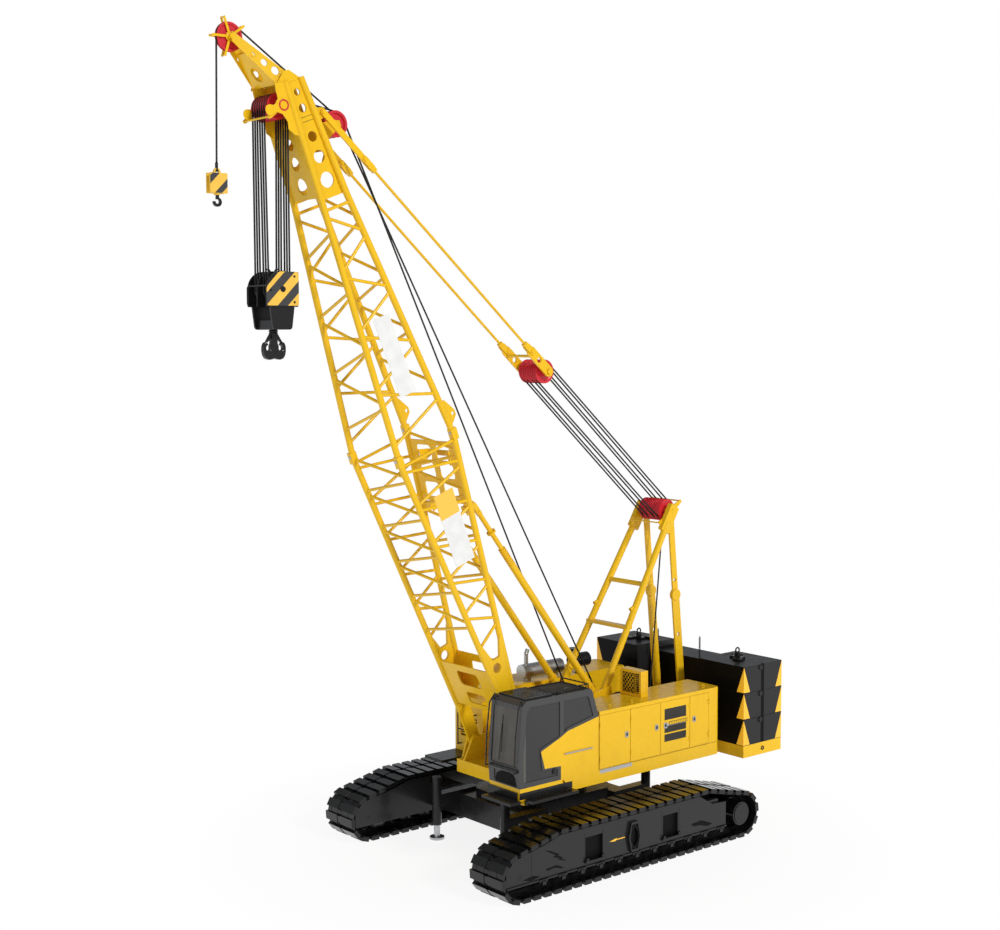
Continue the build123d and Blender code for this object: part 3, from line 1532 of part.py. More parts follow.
def ramshorn(height):
    """A double hook's outline: its throats open upwards, at either side."""
    face = Pos(0, -0.35 * height) * Rectangle(0.22 * height, 0.7 * height)
    for side in (-1, 1):
        face += Pos(side * 0.24 * height, -0.70 * height) * Circle(0.30 * height)
    for side in (-1, 1):
        face -= Pos(side * 0.26 * height, -0.68 * height) * Circle(0.13 * height)
        face -= Pos(side * 0.26 * height, -0.48 * height) * Rectangle(0.20 * height, 0.40 * height)
    return face


def build_hooks():
    x, _, _ = boom_point(main_axle_along, main_axle_depth)
    w = block_half_width
    cheek = [
        (x - w, block_cheek_bottom), (x + w, block_cheek_bottom), (x + w, block_cheek_top - 260),
        (x + w - 250, block_cheek_top), (x - w, block_cheek_top),
    ]
    cheek_radii = (60, 60, 60, 60, 45)
    taper = [
        (x - w + 70, block_cheek_bottom + 60), (x - 190, block_taper_bottom), (x + 190, block_taper_bottom),
        (x + w - 70, block_cheek_bottom + 60),
    ]
    dome = Pos(x, block_axle_height) * Circle(w - 6)
    dome += Pos(x, (block_cheek_bottom + block_axle_height) / 2) * Rectangle(
        2 * w - 12, block_axle_height - block_cheek_bottom,
    )
    plates = []
    for side in (-1, 1):
        plates.append(rounded_plate(cheek, cheek_radii, *span(side, block_cheek_span - 14, block_cheek_span)))
        plates.append(in_side_view(dome, *span(side, block_cheek_span - 44, block_cheek_span - 14)))
        plates.append(
            rounded_plate(taper, (0, 60, 60, 0), *span(side, block_cheek_span - 60, block_cheek_span - 20))
        )
        lug = Pos(x - 40 * side, block_axle_height + w - 10) * Circle(48)
        plates.append(in_side_view(lug, *span(side, 70, 100)) - cross_rod(
            x - 40 * side, 0, block_axle_height + w - 5, 28, 400,
        ))
    middle = in_side_view(dome, -12, 12) - cross_rod(x, 0, block_axle_height, block_sheave_radius - 90, 60)
    plates.append(middle)
    plates.append(cross_rod(x, 0, block_axle_height, 50, 2 * block_cheek_span + 24))
    spreader = 2 * (block_cheek_span - 30)
    plates.append(
        box((x - 150, x + 150), (-spreader / 2, spreader / 2), (block_taper_bottom, block_taper_bottom + 160))
    )
    for dx, z in (
        (w - 22, block_axle_height + 60), (-w + 22, block_axle_height + 60), (0, block_axle_height + w - 25),
    ):
        plates.append(cross_rod(x + dx, 0, z, 14, spreader))
    keep("hook_block", joined(plates))
    count = main_sheave_count // 2
    stack = sheave_stack(block_sheave_radius, count, block_sheave_pitch, 50 + sheave_clearance)
    offset = 12 + joint_gap + count * block_sheave_pitch / 2 + 4
    keep("block_sheaves", [Pos(x, side * offset, block_axle_height) * stack for side in (-1, 1)])
    swivel = block_taper_bottom - joint_gap
    hook = in_side_view(ramshorn(swivel - hook_bottom - 40), -55, 55)
    hook = Pos(x, 0, swivel - 40) * hook
    keep("main_hook", joined([hook, rod((x, 0, swivel - 90), (x, 0, swivel), 140)]))
    build_tip_hook()


def build_tip_hook():
    tip_x, _, _ = boom_point(tip_along, tip_depth)
    x = tip_x + tip_sheave_radius - 24 + cable_radius
    plates = []
    half = tip_block_half
    for side in (-1, 1):
        plate = [
            (x - half, tip_block_bottom), (x + half, tip_block_bottom), (x + half, tip_block_top),
            (x - half, tip_block_top),
        ]
        plates.append(rounded_plate(plate, (14, 14, 14, 14), *span(side, 45, 70)))
    plates.append(box((x - half + 40, x + half - 40), (-45, 45), (tip_block_bottom + 25, tip_block_top - 40)))
    eye = Pos(x, tip_block_top + 20) * Circle(64)
    plates.append(in_side_view(eye, -18, 18) - cross_rod(x, 0, tip_block_top + 32, 32, 80))
    plates.append(rod((x, 0, tip_block_bottom - 25), (x, 0, tip_block_bottom + 30), 110))
    keep("tip_block", joined(plates))
    top = tip_block_bottom - 25 - joint_gap
    height = top - tip_hook_bottom
    radius = 0.40 * height
    bowl = Circle(radius) - Pos(0, 0.1 * radius) * Circle(0.52 * radius)
    bowl -= Pos(radius, 0.75 * radius) * Rectangle(1.5 * radius, 1.2 * radius)
    shank = Pos(-0.05 * radius, 0.72 * height - radius) * Rectangle(0.55 * radius, 0.8 * height)
    shank -= Pos(0, 0.1 * radius) * Circle(0.52 * radius)
    hook = in_side_view(bowl + shank, -24, 24)
    trim = box((-400, 400), (-200, 200), (-2 * radius, height - radius))
    keep("tip_hook", Pos(x, 0, tip_hook_bottom + radius) * (hook & trim))


def luff_line():
    """Unit vector from the pendants' lug pin towards the gantry head."""
    lug = boom_point(lug_along, lug_depth)
    run = gantry_head_x - lug[0]
    rise = gantry_head_z - lug[2]
    length = hypot(run, rise)
    return lug, run / length, rise / length, length


def build_pendants():
    lug, ux, uz, _ = luff_line()

    def on_line(reach, y, offset=0):
        return (lug[0] + reach * ux - offset * uz, y, lug[2] + reach * uz + offset * ux)

    def bored(shape, reach, y, radius):
        x, _, z = on_line(reach, 0)
        return shape - cross_rod(x, y, z, radius, 200)

    links = []
    lines = []
    for side in (-1, 1):
        y = side * pendant_y
        link = leg_bar(on_line(0, y), on_line(pendant_link_length, y), 110, link_plate)
        link = bored(link, 0, y, lug_pin_radius + pin_clearance)
        links.append(link)
        # The fork's two plates straddle the link, with a pin head outside each.
        offset = link_plate / 2 + joint_gap + fork_plate / 2
        fork = []
        for way in (-1, 1):
            plate_y = y + way * offset
            fork.append(leg_bar(
                on_line(pendant_link_length, plate_y), on_line(pendant_link_length + 210, plate_y), 110,
                fork_plate,
            ))
            head_y = y + way * (offset + fork_plate / 2 + 8)
            x, _, z = on_line(pendant_link_length, 0)
            fork.append(cross_rod(x, head_y, z, 38, 16))
        fork.append(square_bar(
            on_line(pendant_link_length + 130, y), on_line(pendant_link_length + 300, y), 90,
            2 * offset + fork_plate,
        ))
        lines += fork
        lines.append(
            rod(on_line(pendant_link_length + 240, y), on_line(bail_reach - 160, y), pendant_diameter)
        )
        lines.append(square_bar(on_line(bail_reach - 240, y), on_line(bail_reach - 100, y), 90, 90))
    keep("pendant_links", links)
    for side in (-1, 1):
        y = side * pendant_y
        offset = 22 + 14
        for way in (-1, 1):
            plate_y = y + way * offset
            lines.append(
                leg_bar(on_line(bail_reach - 150, plate_y), on_line(bail_reach + 20, plate_y), 120, 24)
            )
        x, _, z = on_line(bail_reach, 0)
        lines.append(cross_rod(x, y, z, 36, 130))
        plate = leg_bar(on_line(bail_reach, y), on_line(bail_axle_reach, y), 200, 44)
        x, _, z = on_line(bail_reach + 260, 0, )
        lines.append(plate - cross_rod(x, y, z, 55, 200))
    x, _, z = on_line(bail_axle_reach, 0)
    lines.append(cross_rod(x, 0, z, 55, 2 * pendant_y + 110))
    x, _, z = on_line(bail_reach + 70, 0, 60)
    lines.append(cross_rod(x, 0, z, 28, 2 * pendant_y))
    keep("bail", joined(lines))
    stack = sheave_stack(bail_sheave_radius, bail_sheave_count, bail_sheave_pitch, 55 + sheave_clearance)
    keep("bail_sheaves", Pos(x_of(on_line(bail_axle_reach, 0)), 0, on_line(bail_axle_reach, 0)[2]) * stack)


def x_of(point):
    return point[0]


def build_backstops():
    eye = boom_point(backstop_eye_along, backstop_eye_depth)
    run = eye[0] - backstop_foot_x
    rise = eye[2] - backstop_foot_z
    length = hypot(run, rise)
    ux, uz = run / length, rise / length

    def on_line(reach, y):
        return (backstop_foot_x + reach * ux, y, backstop_foot_z + reach * uz)

    tubes = []
    rods = []
    for side in (-1, 1):
        y = side * backstop_y
        tube = [rod(on_line(120, y), on_line(backstop_tube_length, y), 2 * backstop_tube_radius)]
        tube.append(leg_bar(on_line(0, y), on_line(200, y), 150, backstop_eye_thickness))
        tube.append(rod(on_line(210, y), on_line(240, y), 2 * backstop_tube_radius + 50))
        for index in range(spring_ribs + 1):
            reach = backstop_tube_length + index * spring_pitch
            tube.append(
                rod(on_line(reach - spring_pitch, y), on_line(reach, y), 2 * (backstop_tube_radius - 14))
            )
            tube.append(rod(on_line(reach - 14, y), on_line(reach + 14, y), 2 * backstop_tube_radius))
        tube = joined(tube)
        end = backstop_tube_length + spring_ribs * spring_pitch
        tube = tube - rod(on_line(240, y), on_line(end + 50, y), 2 * (backstop_rod_radius + 0.1))
        x, _, z = on_line(0, y)
        tube = tube - cross_rod(x, y, z, backstop_pin_radius + pin_clearance, 300)
        tubes.append(tube)
        inner = rod(on_line(backstop_rod_start, y), on_line(length - 160, y), 2 * backstop_rod_radius)
        collar_reach = end + backstop_travel
        collar = rod(on_line(collar_reach, y), on_line(collar_reach + 40, y), 2 * backstop_tube_radius + 36)
        knob = leg_bar(on_line(length - 230, y), on_line(length, y), 100, backstop_eye_thickness)
        rods.append(joined([inner, collar, knob]))
    keep("backstop_tubes", tubes)
    keep("backstop_rods", rods)


build_tracks()
build_car_body()
build_deck()
build_houses()
build_cab()
build_cab_guards()
build_walkways()
build_counterweight()
build_gantry()
build_deck_gear()
build_boom()
build_head()
build_hooks()
build_pendants()
build_backstops()

os.makedirs("parts", exist_ok=True)
for name, shape in nodes.items():
    export_step(shape, f"parts/{name}.step")
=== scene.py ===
import bpy
import bmesh
import json
from math import acos, atan2, cos, hypot, pi, radians, sin
from mathutils import Vector, Matrix

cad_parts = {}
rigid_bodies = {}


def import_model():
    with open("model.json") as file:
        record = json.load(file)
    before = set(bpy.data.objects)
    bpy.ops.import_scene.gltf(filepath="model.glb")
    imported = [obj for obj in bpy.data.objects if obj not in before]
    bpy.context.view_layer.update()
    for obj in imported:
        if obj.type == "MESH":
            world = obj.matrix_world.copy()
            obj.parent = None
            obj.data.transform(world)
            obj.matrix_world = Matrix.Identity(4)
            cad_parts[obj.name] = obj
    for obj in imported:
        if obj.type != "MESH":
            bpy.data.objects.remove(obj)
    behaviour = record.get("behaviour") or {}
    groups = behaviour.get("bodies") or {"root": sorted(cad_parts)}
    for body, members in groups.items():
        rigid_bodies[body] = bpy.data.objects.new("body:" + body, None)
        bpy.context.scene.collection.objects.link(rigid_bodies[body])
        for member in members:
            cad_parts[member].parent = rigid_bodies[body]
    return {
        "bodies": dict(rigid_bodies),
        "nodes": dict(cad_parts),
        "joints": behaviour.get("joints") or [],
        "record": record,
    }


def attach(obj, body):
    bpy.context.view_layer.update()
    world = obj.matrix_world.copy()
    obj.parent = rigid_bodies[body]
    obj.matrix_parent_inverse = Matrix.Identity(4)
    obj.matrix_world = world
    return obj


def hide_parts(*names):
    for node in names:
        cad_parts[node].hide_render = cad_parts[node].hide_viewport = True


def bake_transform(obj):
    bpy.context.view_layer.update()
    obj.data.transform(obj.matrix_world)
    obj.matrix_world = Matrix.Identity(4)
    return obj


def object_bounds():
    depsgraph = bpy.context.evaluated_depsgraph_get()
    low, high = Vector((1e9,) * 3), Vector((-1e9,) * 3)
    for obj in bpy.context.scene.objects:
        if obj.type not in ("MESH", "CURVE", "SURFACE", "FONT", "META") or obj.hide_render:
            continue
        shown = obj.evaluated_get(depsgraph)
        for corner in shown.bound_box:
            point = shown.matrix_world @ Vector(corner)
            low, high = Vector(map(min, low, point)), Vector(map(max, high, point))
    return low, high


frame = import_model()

cad_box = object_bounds()
nodes = frame["nodes"]

# ---------------------------------------------------------------- materials
def new_material(name):
    """An empty material with one surface shader: the material, its tree and the shader."""
    m = bpy.data.materials.new(name)
    m.use_nodes = True
    tree = m.node_tree
    tree.nodes.clear()
    out = tree.nodes.new("ShaderNodeOutputMaterial")
    bsdf = tree.nodes.new("ShaderNodeBsdfPrincipled")
    tree.links.new(bsdf.outputs[0], out.inputs[0])
    return m, tree, bsdf


def noise(tree, scale, detail=4, rough=0.55, stretch=(1, 1, 1)):
    """Noise in the object's own coordinates, in metres."""
    coords = tree.nodes.new("ShaderNodeTexCoord")
    mapping = tree.nodes.new("ShaderNodeMapping")
    mapping.inputs["Scale"].default_value = stretch
    tree.links.new(coords.outputs["Object"], mapping.inputs["Vector"])
    n = tree.nodes.new("ShaderNodeTexNoise")
    n.inputs["Scale"].default_value = scale
    n.inputs["Detail"].default_value = detail
    n.inputs["Roughness"].default_value = rough
    tree.links.new(mapping.outputs[0], n.inputs["Vector"])
    return n.outputs["Fac"]


def ramp(tree, value, low, high, to_low=0.0, to_high=1.0):
    """A value's range from low to high, spread over to_low to to_high and held past them."""
    r = tree.nodes.new("ShaderNodeMapRange")
    r.inputs["From Min"].default_value = low
    r.inputs["From Max"].default_value = high
    r.inputs["To Min"].default_value = to_low
    r.inputs["To Max"].default_value = to_high
    tree.links.new(value, r.inputs["Value"])
    return r.outputs[0]


def mixed(tree, factor, a, b):
    """Colour a at factor 0, colour b at factor 1."""
    m = tree.nodes.new("ShaderNodeMix")
    m.data_type = "RGBA"
    for socket, value in ((m.inputs[6], a), (m.inputs[7], b)):
        if isinstance(value, tuple):
            socket.default_value = (*value, 1)
        else:
            tree.links.new(value, socket)
    if isinstance(factor, float):
        m.inputs[0].default_value = factor
    else:
        tree.links.new(factor, m.inputs[0])
    return m.outputs[2]


def product(tree, a, b):
    """a times b; each is a number or a socket."""
    m = tree.nodes.new("ShaderNodeMath")
    m.operation = "MULTIPLY"
    for socket, value in zip(m.inputs, (a, b)):
        if isinstance(value, float):
            socket.default_value = value
        else:
            tree.links.new(value, socket)
    return m.outputs[0]


def facing(tree):
    """X, Y and Z of the direction in which a face looks."""
    geometry = tree.nodes.new("ShaderNodeNewGeometry")
    split = tree.nodes.new("ShaderNodeSeparateXYZ")
    tree.links.new(geometry.outputs["Normal"], split.inputs[0])
    return split.outputs


def upward(tree):
    """1 on faces that look up, 0 on the sides."""
    return ramp(tree, facing(tree)[2], 0.4, 0.95)


def bumps(tree, bsdf, layers):
    """Several bump layers: (height socket, distance in metres, strength)."""
    last = None
    for value, distance, strength in layers:
        b = tree.nodes.new("ShaderNodeBump")
        b.inputs["Distance"].default_value = distance
        b.inputs["Strength"].default_value = strength
        tree.links.new(value, b.inputs["Height"])
        if last is not None:
            tree.links.new(last.outputs[0], b.inputs["Normal"])
        last = b
    tree.links.new(last.outputs[0], bsdf.inputs["Normal"])


def painted(
    name, colour, shade=0.88, rough=(0.28, 0.42), top_dust_and_shade=(0.42, 0.36, 0.28), top_dust_and_shade_amount=0.16,
    chips=0.25, coat=0.25, shine=0.5,
):
    """Sprayed paint on steel: cloudy tone, orange peel, small chips, and a top colour on what looks up that
    is dust when light and painted shade when darker than the paint.
    """
    m, tree, bsdf = new_material(name)
    dark = tuple(c * shade for c in colour)
    base = mixed(tree, ramp(tree, noise(tree, 1.3), 0.35, 0.65), dark, colour)
    # dust and painted shade: faces that look up blend towards the top colour
    top_dust_and_shade_mask = product(tree, upward(tree), ramp(tree, noise(tree, 5), 0.35, 0.7, 0.0, top_dust_and_shade_amount))
    base = mixed(tree, top_dust_and_shade_mask, base, top_dust_and_shade)
    grime = ramp(tree, noise(tree, 2.2, 6, 0.65, (1, 1, 0.25)), 0.56, 0.78, 0.0, 0.14)
    base = mixed(tree, grime, base, tuple(c * 0.45 for c in colour))
    chip = ramp(tree, noise(tree, 38, 3), 0.745, 0.76, 0.0, chips)
    base = mixed(tree, chip, base, (0.16, 0.12, 0.09))
    tree.links.new(base, bsdf.inputs["Base Color"])
    tree.links.new(ramp(tree, noise(tree, 7), 0.3, 0.7, *rough), bsdf.inputs["Roughness"])
    bsdf.inputs["Coat Weight"].default_value = coat
    bsdf.inputs["Coat Roughness"].default_value = 0.12
    bsdf.inputs["Specular IOR Level"].default_value = shine
    bumps(tree, bsdf, [(noise(tree, 3.5, 2), 0.004, 0.15), (noise(tree, 140, 2), 0.0004, 0.25)])
    return m


def steel(name, colour, rough, metallic=1.0, tone=0.7, scale=9, bump=0.0012):
    """Bare or oiled metal with a cloudy tone and fine grain."""
    m, tree, bsdf = new_material(name)
    dark = tuple(c * tone for c in colour)
    base = mixed(tree, ramp(tree, noise(tree, scale, 6), 0.35, 0.68), dark, colour)
    tree.links.new(base, bsdf.inputs["Base Color"])
    bsdf.inputs["Metallic"].default_value = metallic
    tree.links.new(ramp(tree, noise(tree, 14), 0.3, 0.7, *rough), bsdf.inputs["Roughness"])
    bumps(tree, bsdf, [(noise(tree, 30, 4), bump, 0.35), (noise(tree, 160, 2), bump / 4, 0.3)])
    return m


def shade_tops_and_ends(material, low=0.18):
    """Painted shade: keeps the tone on faces that look sideways and darkens the tops and ends, with less
    specular there.
    """
    tree = material.node_tree
    bsdf = next(n for n in tree.nodes if n.type == "BSDF_PRINCIPLED")
    y = facing(tree)[1]
    sideways = ramp(tree, product(tree, y, y), 0.3, 0.8)
    old = bsdf.inputs["Base Color"].links[0].from_socket
    tree.links.new(mixed(tree, sideways, (0.004, 0.004, 0.004), old), bsdf.inputs["Base Color"])
    tree.links.new(ramp(tree, sideways, 0.0, 1.0, low * 0.3, low), bsdf.inputs["Specular IOR Level"])


yellow = (0.84, 0.50, 0.010)
M = {
    # painted shade: the yellow's top colour is a darker yellow, so roofs and other tops look shaded
    "paint": painted(
        "paint_yellow", yellow, 0.94, (0.22, 0.32), top_dust_and_shade=(0.62, 0.37, 0.006), top_dust_and_shade_amount=0.55, chips=0.1,
        coat=0.12, shine=0.2,
    ),
    # painted shade: the black paint turns near black on faces that look up
    "dark_paint": painted(
        "paint_black", (0.011, 0.011, 0.012), 0.85, (0.22, 0.32), top_dust_and_shade=(0.004, 0.004, 0.004), top_dust_and_shade_amount=0.6,
        chips=0.1, coat=0.1, shine=0.25,
    ),
    # painted shade: the counterweight black turns near black on faces that look up
    "weight_paint": painted(
        "weight_black", (0.021, 0.021, 0.022), 0.88, (0.25, 0.35), top_dust_and_shade=(0.004, 0.004, 0.004),
        top_dust_and_shade_amount=1.0, chips=0.05, coat=0.03, shine=0.12,
    ),
    # painted shade: the track black turns near black on faces that look up
    "track_steel": painted(
        "track_black", (0.007, 0.007, 0.007), 0.85, (0.12, 0.2), top_dust_and_shade=(0.001, 0.001, 0.001), top_dust_and_shade_amount=0.8,
        chips=0.1, coat=0.22, shine=0.25,
    ),
    "sheave_red": painted(
        "sheave_red", (0.62, 0.018, 0.032), 0.9, (0.3, 0.42), top_dust_and_shade_amount=0.0, chips=0.05, shine=0.3,
    ),
    "cab_grey": painted(
        "cab_grey", (0.050, 0.050, 0.052), 0.94, (0.22, 0.3), top_dust_and_shade_amount=0.0, chips=0.0, coat=0.15,
        shine=0.3,
    ),
    "frame_grey": painted(
        "frame_grey", (0.015, 0.015, 0.0155), 0.9, (0.2, 0.3), top_dust_and_shade_amount=0.0, chips=0.08, coat=0.15,
        shine=0.25,
    ),
    # near black; where it fills openings, slots, recesses and grooves it is painted shade
    "pit_black": painted(
        "pit_black", (0.003, 0.003, 0.003), 0.8, (0.5, 0.6), top_dust_and_shade_amount=0.0, chips=0.0, coat=0.0, shine=0.1,
    ),
    "bright_steel": steel("bright_steel", (0.55, 0.56, 0.57), (0.25, 0.42), 0.9, tone=0.82),
    "seat": painted(
        "seat_cloth", (0.03, 0.03, 0.033), 0.7, (0.7, 0.9), top_dust_and_shade_amount=0.05, chips=0.0, coat=0.0,
    ),
    "boards": painted("board_white", (0.80, 0.80, 0.80), 0.95, (0.35, 0.45), top_dust_and_shade_amount=0.05, chips=0.0),
    "stripes": painted("stripe_yellow", (0.88, 0.56, 0.05), 0.9, (0.3, 0.45)),
}


def glass_material():
    """Dark glass at the sides; the windscreen, further forward, is paler and hazy."""
    m, tree, bsdf = new_material("tinted_glass")
    coords = tree.nodes.new("ShaderNodeTexCoord")
    split = tree.nodes.new("ShaderNodeSeparateXYZ")
    tree.links.new(coords.outputs["Object"], split.inputs[0])
    windscreen_x = 2.02
    front = ramp(tree, split.outputs[0], windscreen_x, windscreen_x + 0.01)
    side = mixed(tree, ramp(tree, noise(tree, 0.8), 0.3, 0.7), (0.050, 0.050, 0.051), (0.058, 0.058, 0.059))
    haze = mixed(tree, ramp(tree, noise(tree, 1.1), 0.25, 0.75), (0.085, 0.078, 0.066), (0.16, 0.155, 0.145))
    tree.links.new(mixed(tree, front, side, haze), bsdf.inputs["Base Color"])
    bsdf.inputs["IOR"].default_value = 1.2
    tree.links.new(ramp(tree, noise(tree, 3), 0.3, 0.7, 0.04, 0.07), bsdf.inputs["Roughness"])
    return m


M["glass"] = glass_material()

# every CAD node gets the material that its record slot names; a few nodes get their own tone
for name, node in nodes.items():
    for s in node.material_slots:
        key = s.material.name.split(".")[0] if s.material else "paint"
        s.material = M.get(key, M["paint"])
for name in ("cab", "track_frame_left", "track_frame_right"):
    for s in nodes[name].material_slots:
        s.material = M["cab_grey" if name == "cab" else "frame_grey"]


# ------------------------------------------------------------------ shapes
def add(name, mesh, material, body=None, bevel=0.0):
    """A piece from a mesh, riding on a body if one is given."""
    mesh.name = name
    o = bpy.data.objects.new(name, mesh)
    bpy.context.collection.objects.link(o)
    mesh.materials.append(material)
    if bevel:
        b = o.modifiers.new("bevel", "BEVEL")
        b.width = bevel
        b.segments = 2
        b.limit_method = "ANGLE"
        for p in mesh.polygons:
            p.use_smooth = False
    if body:
        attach(o, body)
    return o


def from_bmesh(bm):
    """A mesh with outward faces; the bmesh is used up."""
    mesh = bpy.data.meshes.new("mesh")
    bmesh.ops.recalc_face_normals(bm, faces=bm.faces)
    bm.to_mesh(mesh)
    bm.free()
    return mesh


def prism(outline, thickness, place):
    """A flat outline (u, v) given thickness along w; place maps (u, v, w) to a point."""
    bm = bmesh.new()
    low = [bm.verts.new(place(u, v, 0)) for u, v in outline]
    high = [bm.verts.new(place(u, v, thickness)) for u, v in outline]
    bm.faces.new(low)
    bm.faces.new(list(reversed(high)))
    n = len(outline)
    for i in range(n):
        bm.faces.new((low[i], low[(i + 1) % n], high[(i + 1) % n], high[i]))
    return from_bmesh(bm)


def blocks(boxes):
    """Boxes ((x, x), (y, y), (z, z)) in one mesh."""
    bm = bmesh.new()
    for x, y, z in boxes:
        corners = [bm.verts.new((x[i], y[j], z[k])) for i in (0, 1) for j in (0, 1) for k in (0, 1)]
        for face in ((0, 1, 3, 2), (4, 6, 7, 5), (0, 4, 5, 1), (2, 3, 7, 6), (0, 2, 6, 4), (1, 5, 7, 3)):
            bm.faces.new([corners[i] for i in face])
    return from_bmesh(bm)


def tube_into(bm, points, radius, sides=10, closed=False):
    """A round tube through points, into a bmesh."""
    points = [Vector(p) for p in points]
    n = len(points)
    rings = []
    normal = None
    for i, p in enumerate(points):
        if closed:
            way = points[(i + 1) % n] - points[i - 1]
        else:
            way = points[min(i + 1, n - 1)] - points[max(i - 1, 0)]
        way.normalize()
        if normal is None:
            normal = way.orthogonal().normalized()
        normal = (normal - way * normal.dot(way)).normalized()
        across = way.cross(normal)
        rings.append([
            bm.verts.new(p + (normal * cos(2 * pi * k / sides) + across * sin(2 * pi * k / sides)) * radius)
            for k in range(sides)
        ])
    pairs = list(zip(rings, rings[1:])) + ([(rings[-1], rings[0])] if closed else [])
    for a, b in pairs:
        for k in range(sides):
            f = bm.faces.new((a[k], a[(k + 1) % sides], b[(k + 1) % sides], b[k]))
            f.smooth = True
    if not closed:
        bm.faces.new(list(reversed(rings[0])))
        bm.faces.new(rings[-1])


def tubes(paths, radius, sides=10, closed=False):
    """Round tubes along several paths, in one mesh."""
    bm = bmesh.new()
    for path in paths:
        tube_into(bm, path, radius, sides, closed)
    return from_bmesh(bm)


def run(start, end, steps=2):
    """Points on a straight line, both ends included."""
    start, end = Vector(start), Vector(end)
    return [start + (end - start) * (i / steps) for i in range(steps + 1)]


def ring(centre, radius, axis_u, axis_v, steps=28, start=0.0, turn=2 * pi):
    """Points round a centre; a full turn leaves the last point out."""
    centre, u, v = Vector(centre), Vector(axis_u), Vector(axis_v)
    full = abs(turn - 2 * pi) < 1e-6
    angles = [start + turn * i / steps for i in range(steps if full else steps + 1)]
    return [centre + (u * cos(a) + v * sin(a)) * radius for a in angles]


X, Y, Z = Vector((1, 0, 0)), Vector((0, 1, 0)), Vector((0, 0, 1))
HAIR = 0.0004                       # how far a thin patch stands off the face under it


def hand(side):
    """Letter for a side in the names of pieces: l on the left (+Y), r on the right."""
    return "r" if side < 0 else "l"


def y_span(side, near, far):
    """A (low, high) pair of Y from two distances on one side."""
    return tuple(sorted((side * near, side * far)))


def bolts(places, axis, radius, height):
    """Hexagonal bolt heads standing on faces that look along axis."""
    bm = bmesh.new()
    axis = Vector(axis).normalized()
    u = axis.orthogonal().normalized()
    v = axis.cross(u)
    for place in places:
        p = Vector(place)
        low, high = [], []
        for k in range(6):
            a = k * pi / 3
            r = (u * cos(a) + v * sin(a)) * radius
            low.append(bm.verts.new(p + r))
            high.append(bm.verts.new(p + r * 0.92 + axis * height))
        bm.faces.new(high)
        for k in range(6):
            bm.faces.new((low[k], low[(k + 1) % 6], high[(k + 1) % 6], high[k]))
    return from_bmesh(bm)


def lathe(profile, centre, sides=48):
    """A closed profile (radius, y) turned about the Y axis through a centre."""
    bm = bmesh.new()
    centre = Vector(centre)
    rings = []
    for k in range(sides):
        a = 2 * pi * k / sides
        rings.append([bm.verts.new(centre + Vector((r * cos(a), y, r * sin(a)))) for r, y in profile])
    n = len(profile)
    for k in range(sides):
        a, b = rings[k], rings[(k + 1) % sides]
        for i in range(n):
            bm.faces.new((a[i], a[(i + 1) % n], b[(i + 1) % n], b[i]))
    return from_bmesh(bm)


SHEAVE_GAP = 0.006                  # between neighbours in a row


def sheave(radius, width, bore):
    """Half section of a rope sheave: hub, web, rim and groove."""
    rim, web = width / 2, width * 0.22
    hub, lip = bore + 0.035, radius - 0.026       # outside of the hub, bottom of the groove
    return [
        (bore, -rim), (hub, -rim), (hub, -web), (lip - 0.03, -web), (lip - 0.012, -rim), (radius, -rim),
        (lip, -rim * 0.3), (lip, rim * 0.3),
        (radius, rim), (lip - 0.012, rim), (lip - 0.03, web), (hub, web), (hub, rim), (bore, rim),
    ]


def sheave_row(name, node, centre, radius, rows, pitch, bore, body, colour="sheave_red"):
    """A row of sheaves that stands for the node's plainer solid."""
    bm = bmesh.new()
    for y in rows:
        part = lathe(sheave(radius, pitch - SHEAVE_GAP, bore), centre + Y * y)
        bm.from_mesh(part)
        bpy.data.meshes.remove(part)
    o = add(name, from_bmesh(bm), M[colour], body)
    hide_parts(node)


# ------------------------------------------------- the boom's own directions
FOOT = Vector((1.128, 0, 1.979))    # the foot pins' axis
ANGLE = radians(69.2)               # boom angle at rest
ALONG = Vector((cos(ANGLE), 0, sin(ANGLE)))
FRONT = Vector((sin(ANGLE), 0, -cos(ANGLE)))


def on_boom(along, depth, y=0.0):
    """A point along the boom from its foot and in front of its middle plane."""
    return FOOT + ALONG * along + FRONT * depth + Y * y


# ------------------------------------------------------------------- ropes
rope = steel("wire_rope", (0.010, 0.010, 0.011), (0.6, 0.75), 0.0, tone=0.6, scale=60)
ROPE = 0.0165                       # radius
main_axle = on_boom(13.0, 0.472)
tip_axle = on_boom(14.308, 0.814)
guide_axle = on_boom(12.39, -0.640)
block_axle = Vector((main_axle.x, 0, 10.88))
HEAD_R, BLOCK_R, TIP_R = 0.222, 0.222, 0.246
# radii at which the ropes' centre lines run
head_run, block_run, tip_run = HEAD_R - 0.012, BLOCK_R - 0.012, TIP_R - 0.012
guide_run, drum_run, gantry_run, bail_run = 0.224, 0.273, 0.219, 0.224
top_rows = [0.074 * (i - 3) for i in range(7)]
block_rows = [-0.2163, -0.1363, -0.0563, 0.0563, 0.1363, 0.2163]
sheave_row("head_sheaves", "main_sheaves", main_axle, HEAD_R, top_rows, 0.074, 0.056, "main_sheaves")
sheave_row(
    "hook_sheaves", "block_sheaves", block_axle, BLOCK_R, block_rows, 0.076, 0.051, "main_hook", "pit_black",
)
sheave_row("jib_sheave", "tip_sheave", tip_axle, TIP_R, (0.0,), 0.076, 0.046, "tip_sheave")
